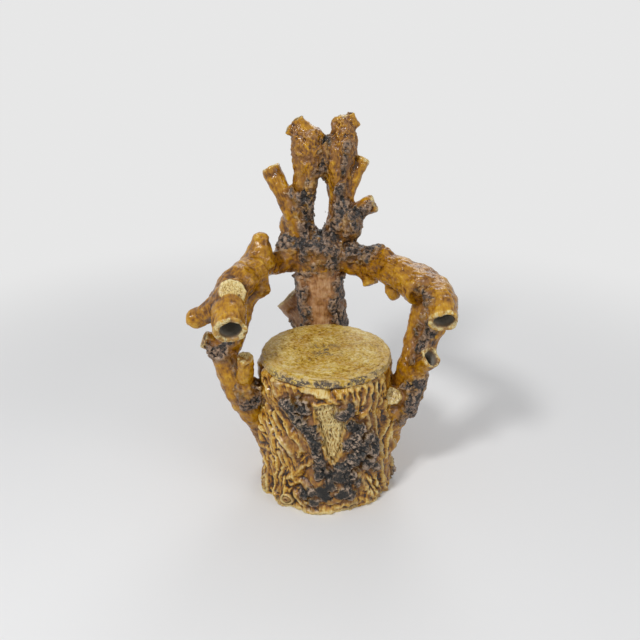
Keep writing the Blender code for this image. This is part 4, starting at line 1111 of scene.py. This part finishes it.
class Recipe:
    """Small builder for a material's or the world's nodes; each call gives an output to join on."""

    def __init__(self, owner):
        owner.use_nodes = True
        self.owner = owner
        self.tree = owner.node_tree

    def add(self, kind, output, inputs, **settings):
        """A node with some settings and inputs, and one of its outputs."""
        node = self.tree.nodes.new("ShaderNode" + kind)
        for name, value in settings.items():
            setattr(node, name, value)
        for name, source in inputs.items():
            self.join(source, node.inputs[name])
        return node.outputs[output]

    def join(self, source, target):
        """A link, or a plain value where the source is a number or a colour."""
        if isinstance(source, (int, float, tuple)):
            target.default_value = source
        else:
            self.tree.links.new(source, target)

    def stored(self, name, output="Fac"):
        """A value kept for each corner."""
        return self.add("Attribute", output, {}, attribute_name=name)

    def place(self):
        """Place on the object."""
        return self.add("TexCoord", "Object", {})

    def drawn_out(self, vector, share):
        """A vector whose first axis is shortened, which draws noise out along it."""
        return self.add("VectorMath", 0, {0: vector, 1: (share, 1, 1)}, operation="MULTIPLY")

    def noise(self, vector, scale, detail=4.0, rough=0.6):
        """Noise about as fine as the scale says, in lumps for each metre."""
        inputs = {"Vector": vector, "Scale": scale, "Detail": detail, "Roughness": rough}
        return self.add("TexNoise", "Fac", inputs)

    def math(self, kind, first, second, third=0.0):
        """A mathematical step."""
        return self.add("Math", 0, {0: first, 1: second, 2: third}, operation=kind)

    def times(self, first, second):
        """Product."""
        return self.math("MULTIPLY", first, second)

    def plus(self, first, second):
        """Sum."""
        return self.math("ADD", first, second)

    def scaled_plus(self, first, scale, rest):
        """First times scale, plus the rest."""
        return self.math("MULTIPLY_ADD", first, scale, rest)

    def mixed(self, share, first, second, kind="FLOAT"):
        """Number between two numbers."""
        return self.add("Mix", "Result", {"Factor": share, "A": first, "B": second}, data_type=kind)

    def blend(self, share, first, second):
        """Colour between two colours."""
        return self.mixed(share, first, second, "RGBA")

    def remap(self, value, low, high, start=0.0, end=1.0):
        """Value moved from one range to another, and held inside it."""
        inputs = {"Value": value, "From Min": low, "From Max": high, "To Min": start, "To Max": end}
        return self.add("MapRange", "Result", inputs)

    def colours(self, value, stops):
        """Colour from a row of stops."""
        colour = self.add("ValToRGB", "Color", {"Fac": value})
        band = colour.node.color_ramp
        while len(band.elements) < len(stops):
            band.elements.new(0.5)
        for element, (place, shade) in zip(band.elements, stops):
            element.position = place
            element.color = (*shade, 1)
        return colour

    def glaze(self, colour, rough, shine, relief, strength, distance):
        """The surface: its colour, roughness and shine, and fine relief in the shading."""
        height = {"Strength": strength, "Distance": distance, "Height": relief}
        surface = self.tree.nodes["Principled BSDF"].inputs
        self.join(colour, surface["Base Color"])
        self.join(rough, surface["Roughness"])
        self.join(shine, surface["Specular IOR Level"])
        self.join(self.add("Bump", "Normal", height), surface["Normal"])
        return self.owner


def glaze_colour(clay, height, streak, mottle, stops, lively, yellow):
    """Glaze: brown where it pooled in the grooves, pale on the crests, with specks; the dark grooves and
    pale crests are partly painted shade and painted highlight.
    """
    place = clay.place()
    level = 0.675 * (1 - lively) + yellow
    tone = clay.scaled_plus(streak, 0.65 * lively, clay.scaled_plus(mottle, 0.7 * lively, level))
    # From how high each place stands: partly glaze pooled in the grooves and thin on the crests, partly
    # painted shade in the grooves and painted highlight on the crests
    tone = clay.plus(tone, clay.remap(height, 0.05, 0.95, -0.26 * lively, 0.26 * lively))
    tone = clay.plus(tone, clay.remap(clay.noise(place, 15.0, 3.0), 0.36, 0.64, -0.11, 0.1))
    specks = clay.remap(clay.noise(place, 330.0, 2.0), 0.62, 0.7)
    return clay.blend(clay.times(specks, 0.45), clay.colours(tone, stops), SPECK)


def crust_colour(clay, height, gritty, stops):
    """Crust: charcoal to brown grains, with painted shade between them and painted highlight on their tops.
    """
    tone = clay.scaled_plus(clay.stored("shade"), 0.36, clay.scaled_plus(gritty, 0.8, -0.31))
    # Painted shade between the grains and painted highlight on their tops, from how high each place stands
    tone = clay.plus(tone, clay.remap(height, 0.1, 0.95, -0.42, 0.46))
    clouds = clay.remap(clay.noise(clay.place(), 26.0, 2.0), 0.38, 0.62, -0.22, 0.22)
    return clay.colours(clay.plus(tone, clouds), stops)


def clay_material(name, stops, lively, yellow, crust_stops):
    """Glazed clay with crust, worn rims, slip and bores; lively glaze has more brown and cream in it."""
    clay = Recipe(bpy.data.materials.new(name))
    grain, place = clay.stored("grain", "Vector"), clay.place()
    height, crust, pale, slip, hollow = map(clay.stored, ("height", "crust", "pale", "slip", "hollow"))
    streak = clay.noise(clay.drawn_out(grain, 0.16), 230.0, 5.0)
    mottle = clay.noise(place, 42.0)
    gritty = clay.noise(place, 260.0, 3.0)
    colour = glaze_colour(clay, height, streak, mottle, stops, lively, yellow)
    colour = clay.blend(clay.times(slip, clay.remap(mottle, 0.35, 0.6)), colour, SLIP)
    colour = clay.blend(crust, colour, crust_colour(clay, height, gritty, crust_stops))
    chalk = clay.noise(clay.drawn_out(grain, 0.35), 300.0)
    # The cream is darker in the grooves than on the crests: painted shade
    chalk = clay.scaled_plus(chalk, 1.6, clay.remap(height, 0.2, 0.8, -0.42, -0.1))
    cream_share = clay.times(pale, clay.remap(mottle, 0.25, 0.5, 0.55, 1.0))
    colour = clay.blend(cream_share, colour, clay.colours(chalk, CREAM_STOPS))
    dirt = clay.remap(clay.noise(place, 150.0, 4.0, 0.7), 0.54, 0.64, 0.0, 0.75)
    colour = clay.blend(clay.times(pale, dirt), colour, DIRT)
    colour = clay.blend(hollow, colour, HOLLOW)
    rough = clay.remap(clay.noise(place, 90.0, 3.0), 0.35, 0.7, 0.09, 0.22)
    crust_rough = clay.remap(gritty, 0.4, 0.6, 0.18, 0.48)
    for share, value in ((crust, crust_rough), (pale, 0.3), (slip, 0.34), (hollow, 0.75)):
        rough = clay.mixed(share, rough, value)
    ripples = clay.scaled_plus(streak, 0.3, clay.times(clay.noise(place, 62.0, 2.0), 1.3))
    fine = clay.times(ripples, clay.math("SUBTRACT", 1.0, crust))
    relief = clay.plus(fine, clay.times(gritty, clay.mixed(crust, 0.14, 1.1)))
    return clay.glaze(colour, rough, GLAZE_SHINE, relief, 0.9, 0.0026)


def seat_material():
    """Ochre glaze brushed round the seat, cream and grey where it is worn."""
    clay = Recipe(bpy.data.materials.new("seat_ochre_glaze"))
    lanes, place = clay.stored("lanes", "Vector"), clay.place()
    strokes, pale, bare = map(clay.stored, ("strokes", "pale", "bare"))
    fleck = clay.noise(place, 120.0, 4.0, 0.7)
    arcs = clay.noise(lanes, 140.0, 3.0)
    tone = clay.scaled_plus(strokes, 0.34, clay.scaled_plus(fleck, 0.8, -0.36))
    tone = clay.scaled_plus(arcs, 0.7, tone)
    tone = clay.plus(tone, clay.remap(clay.noise(place, 19.0, 3.0), 0.35, 0.65, -0.12, 0.14))
    rusty = clay.remap(clay.noise(place, 27.0, 3.0), 0.48, 0.62)
    colour = clay.blend(clay.times(rusty, 0.45), clay.colours(tone, SEAT_STOPS), RUST)
    worn = clay.colours(clay.noise(place, 210.0, 4.0, 0.7), WORN_STOPS)
    flecks = clay.remap(clay.noise(lanes, 130.0, 3.0), 0.55, 0.62)
    colour = clay.blend(clay.times(flecks, 0.75), colour, worn)
    colour = clay.blend(clay.times(pale, clay.remap(fleck, 0.35, 0.55, 0.3, 1.0)), colour, worn)
    bare = clay.times(bare, clay.remap(clay.noise(place, 150.0, 3.0), 0.4, 0.5))
    grime = clay.noise(place, 210.0, 3.0)
    colour = clay.blend(bare, colour, clay.colours(grime, BARE_STOPS))
    pits = clay.remap(grime, 0.62, 0.68)
    colour = clay.blend(clay.times(pits, 0.7), colour, PIT)
    rough = clay.mixed(bare, clay.remap(fleck, 0.35, 0.65, 0.2, 0.42), 0.6)
    relief = clay.scaled_plus(arcs, 0.8, clay.math("SUBTRACT", fleck, pits))
    return clay.glaze(colour, rough, SEAT_SHINE, relief, 0.6, 0.0018)


def paint(piece, material, slot):
    """Give a piece its material, and shade it smooth; the slot is not used."""
    piece.data.materials.clear()
    piece.data.materials.append(material)
    piece.data.shade_smooth()


# Tubes: node, the piece it grows from, slabs to measure it in, its end, and the wall of its bore if any

TRUNK = (
    ("back_trunk", "stump_wall", 6, "joined"),
    ("trunk_hollow_stub", "back_trunk", 3, "hollow", 0.009),
)
BACK = (
    ("back_limb_left", "crown_knot", 6, "hollow", 0.011),
    ("back_limb_middle", "crown_knot", 9, "round"),
    ("back_limb_right", "crown_knot", 9, "round"),
    ("middle_limb_nub_low", "back_limb_middle", 2, "hollow", 0.005),
    ("middle_limb_nub_high", "back_limb_middle", 2, "hollow", 0.005),
    ("right_limb_spout", "back_limb_right", 2, "hollow", 0.005),
    ("right_limb_stub_upper", "back_limb_right", 4, "sawn"),
    ("right_limb_stub_lower", "back_limb_right", 3, "sawn"),
)
LEFT_ARM = (
    ("left_arm_limb", "crown_knot", 6, "joined"),
    ("left_arm_pipe", "left_arm_limb", 7, "hollow", 0.0125),
    ("left_post_lower", "stump_wall", 6, "joined"),
    ("left_post_upper", "left_post_lower", 5, "joined"),
    ("left_arm_upright_stub", "left_arm_limb", 4, "round"),
    ("left_post_hollow_stub", "left_post_upper", 3, "hollow", 0.008),
    ("left_post_sawn_stub", "left_post_lower", 4, "sawn"),
)
RIGHT_ARM = (
    ("right_arm_limb", "crown_knot", 7, "joined"),
    ("right_arm_pipe", "right_arm_limb", 7, "hollow", 0.0125),
    ("right_post_lower", "stump_wall", 6, "joined"),
    ("right_post_inner", "right_post_lower", 5, "joined"),
    ("right_post_outer", "right_post_lower", 5, "joined"),
    ("right_post_hollow_stub", "right_post_lower", 3, "hollow", 0.008),
)
TRUNK_LUMPS = ("trunk_crust_left", "trunk_crust_right")
BACK_LUMPS = ("crown_knot", "crown_crust_left", "left_limb_burl", "fork_crust", "limb_bridge_crust",
              "right_limb_crust", "middle_limb_crust")
LEFT_LUMPS = ("left_post_crust", "left_arm_ball_knob", "left_arm_sawn_stub", "left_arm_inner_stub")
RIGHT_LUMPS = ("right_post_crust", "right_post_lower_crust", "crown_crust_right", "right_arm_under_stub",
               "right_arm_ball_knob", "right_arm_top_knob", "right_post_sawn_stub", "right_post_knob")
# Short stubs with a sawn face, and limbs with folded skin
SAWN_DISCS = ("left_arm_sawn_stub", "right_post_sawn_stub")
FOLDED = ("back_limb_middle", "back_limb_right")
# Girth of some tubes against the frame's: share of the length, factor
GIRTHS = {
    "left_arm_upright_stub": ((0, 1.8), (0.3, 1.55), (0.65, 1.38), (1, 1.30)),
    "back_limb_middle": ((0, 0.80), (0.45, 0.84), (0.65, 0.98), (0.85, 1.06), (1, 1)),
    "back_limb_right": ((0, 0.92), (0.4, 0.95), (0.6, 1.05), (1, 1.08)),
    "trunk_hollow_stub": ((0, 1.25), (1, 1.22)),
    "right_post_hollow_stub": ((0, 1.0), (0.7, 1.05), (1, 1.15)),
    "middle_limb_nub_low": ((0, 1.5), (1, 1.35)),
    "middle_limb_nub_high": ((0, 1.7), (1, 1.35)),
    "right_limb_spout": ((0, 1.5), (1, 1.25)),
    "right_limb_stub_lower": ((0, 1.25), (1, 1.12)),
}
# Crust laid along a limb: between two shares of its length, towards a side, with a girth
STRIPS = (
    ("back_limb_middle", 0.02, 0.44, (-0.2, -1, 0), 0.015),
    ("back_limb_middle", 0.40, 0.62, (0.8, -0.6, 0), 0.006),
    ("back_limb_right", 0.02, 0.46, (0, -1, 0), 0.016),
    ("back_limb_right", 0.55, 0.82, (0.3, -1, 0), 0.003),
    ("back_limb_left", 0.0, 0.30, (0.6, -1, 0), 0.010),
    ("right_post_inner", 0.0, 0.98, (0.6, -1, 0), 0.012),
    ("right_post_outer", 0.0, 0.85, (-0.7, -1, 0), 0.013),
    ("right_arm_pipe", 0.06, 0.80, (-0.9, -0.6, 0.2), 0.009),
    ("right_post_lower", 0.38, 1.0, (0.5, -1, 0), 0.024),
    ("right_limb_stub_lower", 0.0, 0.8, (0.2, -1, 0.2), 0.012),
    ("left_post_lower", 0.55, 1.0, (0.8, -0.6, 0.6), 0.013),
    ("left_post_upper", 0.0, 0.35, (-0.6, -0.6, 0), 0.016),
    ("right_arm_limb", 0.0, 0.34, (0, -0.6, 0.8), 0.010),
    ("trunk_hollow_stub", 0.1, 0.9, (0.8, -0.6, 0), 0.010),
    ("left_post_hollow_stub", 0.0, 0.80, (0.3, -1, -0.4), 0.013),
    ("trunk_hollow_stub", 0.0, 0.5, (0.2, -0.6, -1), 0.008),
)
# Tubes that meet their neighbours in a crease
TIGHT = ("right_post_outer", "right_post_inner", "left_post_upper", "left_post_sawn_stub")
# Gap between the middle and the right limb of the back: middle and half sizes
FORK_GAP = ((-0.003, 0.196, 0.795), (0.026, 0.100, 0.104))
# Round knobs: node, the piece it grows from, radius
KNOBS = (
    ("left_limb_burl", "back_limb_left", 0.030),
    ("left_arm_inner_stub", "left_arm_limb", 0.026),
    ("left_arm_ball_knob", "left_arm_pipe", 0.024),
    ("right_arm_ball_knob", "right_arm_limb", 0.019),
)
# Search for the way that a sawn face looks
TRIES = 400
FACING = 0.97


def knob(node, parent, radius):
    """Corners and triangles of a ball at the free end of a knob."""
    points = samples_of(node)[0]
    gaps = distances(points, [parent])
    tip = points[gaps > gaps.max() * 0.93].mean(axis=0)
    root = points[gaps < gaps.max() * 0.3].mean(axis=0)
    centre = tip - unit(tip - root) * radius * 0.9
    return upright([(centre + [0, 0, radius * np.sin(turn)], radius * np.cos(turn))
                    for turn in np.linspace(-pi / 2, pi / 2, 17)[1:-1]])


def lens(centre, halves):
    """Corners and triangles of a ball stretched along the axes."""
    turns = np.linspace(-pi / 2, pi / 2, 25)[1:-1]
    corners, sides = upright([((0, 0, np.sin(turn)), np.cos(turn)) for turn in turns])
    return corners * np.array(halves) + np.array(centre), sides


def stump_form():
    """Plain closed drum as wide as the stump."""
    return upright([((*AXIS, z), SEAT_RADIUS - 0.004) for z in np.linspace(0, SEAT_BOTTOM, 5)])


class Disc:
    """Sawn face of a short stub: its middle, the way it looks, and its radius."""

    def __init__(self, node):
        points, normals = samples_of(node)
        best = 0
        for number in range(TRIES):
            way = unit(np.random.default_rng(number).normal(size=3))
            share = (normals @ way > FACING).mean()
            if share > best:
                best, self.way = share, way
        face = points[normals @ self.way > FACING]
        self.middle = face.mean(axis=0)
        self.radius = np.linalg.norm(face - self.middle, axis=1).max()

    def share(self, places):
        """1 on the face, 0 off it."""
        off = places - self.middle
        along = off @ self.way
        reach = np.linalg.norm(off - along[:, None] * self.way, axis=1)
        reach += 0.01 * waves(places, 0.012, 210)
        return ramp(np.abs(along), 0.008, 0.004) * ramp(reach, self.radius * 1.02, self.radius * 0.9)


def make_group(group, tubes, beside, crusts):
    """Clay skin of a group of limbs, with its relief and glaze."""
    name, rows, lumps, luting, voxel, material, slot = group
    forms = [guide.outside() for guide in tubes] + [node_form(node) for node in lumps]
    skin = Skin(forms, voxel)
    for guide, form in zip(tubes, forms):
        skin.add(form, min(luting, 0.9 * guide.radii.mean()) * (0.45 if guide.node in TIGHT else 1))
    for node, form in zip(lumps, forms[len(tubes):]):
        skin.add(form, (0.25 if node in SAWN_DISCS else 0.6) * luting)
    for row in KNOBS:
        if row[0] in lumps:
            skin.add(knob(*row), 0.6 * luting)
    skin.flow_into(beside, LUTING)
    if rows == BACK:
        skin.drill(lens(*FORK_GAP), 0.01)
    skin.heap(crusts)
    for guide in tubes:
        if guide.wall:
            skin.drill(guide.bore(), 0.005)
    skin.clip()
    piece = skin.piece(name)
    dress(piece, skin, tubes, [Disc(node) for node in SAWN_DISCS if node in lumps])
    paint(piece, material, slot)
    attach(piece, "root")
    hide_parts(*[guide.node for guide in tubes], *lumps)
    return piece


def make_chair():
    """All the pieces of the chair."""
    amber = clay_material("amber_glaze", AMBER_STOPS, 0.66, -0.235, LIMB_CRUST)
    bark = clay_material("stump_glaze", BARK_STOPS, 1.25, -0.2, STUMP_CRUST)
    umber = clay_material("umber_glaze", UMBER_STOPS, 0.75, -0.1, LIMB_CRUST)
    groups = (
        ("trunk_clay", TRUNK, TRUNK_LUMPS, LUTING, TRUNK_VOXEL, umber, "umber_glaze"),
        ("back_clay", BACK, BACK_LUMPS, 0.5 * LUTING, BACK_VOXEL, amber, "amber_glaze"),
        ("left_arm_clay", LEFT_ARM, LEFT_LUMPS, LUTING, VOXEL, amber, "amber_glaze"),
        ("right_arm_clay", RIGHT_ARM, RIGHT_LUMPS, LUTING, VOXEL, amber, "amber_glaze"),
    )
    tubes = [[Guide(*row) for row in group[1]] for group in groups]
    by_node = {guide.node: guide for guides in tubes for guide in guides}
    crusts = [node_form(node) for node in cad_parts
              if node == "crown_knot" or "crust" in node and not node.startswith("stump")]
    crusts += [by_node[node].strip(*rest) for node, *rest in STRIPS]
    for group, guides in zip(groups, tubes):
        beside = [stump_form()]
        for other, other_guides in zip(groups, tubes):
            if other != group:
                beside += [guide.outside() for guide in other_guides[:4]]
                beside += [node_form(node) for node in other[2]]
        make_group(group, guides, beside, crusts)
    paint(make_stump(), bark, "amber_glaze")
    paint(make_seat(), seat_material(), "seat_glaze")


# Stage

BACKDROP = (0.8, 0.8, 0.8, 1)
DAYLIGHT = (0.97, 0.98, 1.0, 1)
DAYLIGHT_POWER = 0.42
FLOOR_SIDE = 30
# Name, place, size and power
LAMPS = (
    ("key", (-1.3, -1.9, 2.9), 0.5, 60),
    ("fill", (2.2, -1.7, 1.9), 1.2, 15),
    ("rim", (0.6, 2.4, 2.4), 1.6, 20),
)
LIT_POINT = Vector((0, 0, 0.5))


def seen_share(stage):
    """1 for what the camera sees, also in the glaze; 0 for light on its way."""
    rays = [stage.add("LightPath", f"Is {kind} Ray", {}) for kind in ("Camera", "Glossy", "Transmission")]
    return stage.math("MAXIMUM", stage.math("MAXIMUM", rays[0], rays[1]), rays[2])


def surface(stage, share, lit, backdrop):
    """The surface: lit, and the backdrop as far as the share says."""
    mix = stage.add("MixShader", "Shader", {"Fac": share, 1: lit, 2: backdrop})
    output = next(node for node in stage.tree.nodes if node.bl_idname.startswith("ShaderNodeOutput"))
    stage.join(mix, output.inputs["Surface"])


def make_floor():
    """Pale floor that keeps the shadow and turns into the backdrop further off."""
    stage = Recipe(bpy.data.materials.new("pale_floor"))
    shader = stage.tree.nodes["Principled BSDF"]
    shader.inputs["Base Color"].default_value = BACKDROP
    shader.inputs["Roughness"].default_value = 0.8
    reach = stage.add("VectorMath", "Value", {0: stage.place()}, operation="LENGTH")
    fade = stage.add("MapRange", "Result", {"Value": reach, "From Min": 0.8, "From Max": 2.6},
                     interpolation_type="SMOOTHSTEP")
    share = stage.times(fade, seen_share(stage))
    surface(stage, share, shader.outputs["BSDF"], stage.add("Emission", "Emission", {"Color": BACKDROP}))
    bpy.ops.mesh.primitive_plane_add(size=FLOOR_SIDE, location=(0, 0, 0))
    floor = bpy.context.object
    floor.name = "floor"
    floor.data.materials.append(stage.owner)


def make_world():
    """Soft light from all sides, and a plain pale backdrop."""
    stage = Recipe(bpy.data.worlds.new("studio"))
    light = stage.tree.nodes["Background"]
    light.inputs["Color"].default_value = DAYLIGHT
    light.inputs["Strength"].default_value = DAYLIGHT_POWER
    backdrop = stage.add("Background", "Background", {"Color": BACKDROP})
    surface(stage, seen_share(stage), light.outputs["Background"], backdrop)
    bpy.context.scene.world = stage.owner


def put(name, data, place):
    """A lamp or camera at a place."""
    thing = bpy.data.objects.new(name, data)
    thing.location = place
    bpy.context.scene.collection.objects.link(thing)
    return thing


def make_stage():
    """Floor and backdrop, soft lights, and the camera where the photo's stood."""
    make_floor()
    make_world()
    for name, place, size, power in LAMPS:
        light = bpy.data.lights.new(name, "AREA")
        light.energy = power
        light.size = size
        way = LIT_POINT - Vector(place)
        put(name, light, place).rotation_euler = way.to_track_quat("-Z", "Y").to_euler()

    camera = bpy.data.cameras.new("camera")
    camera.lens = CAMERA_LENS
    camera.sensor_width = SENSOR
    eye = put("camera", camera, (*(AXIS + CAMERA_OFFSET), CAMERA_HEIGHT))
    eye.rotation_euler = (radians(90 - CAMERA_PITCH), 0, 0)
    bpy.context.scene.camera = eye
    bpy.context.scene.view_settings.view_transform = "Standard"


make_chair()
make_stage()
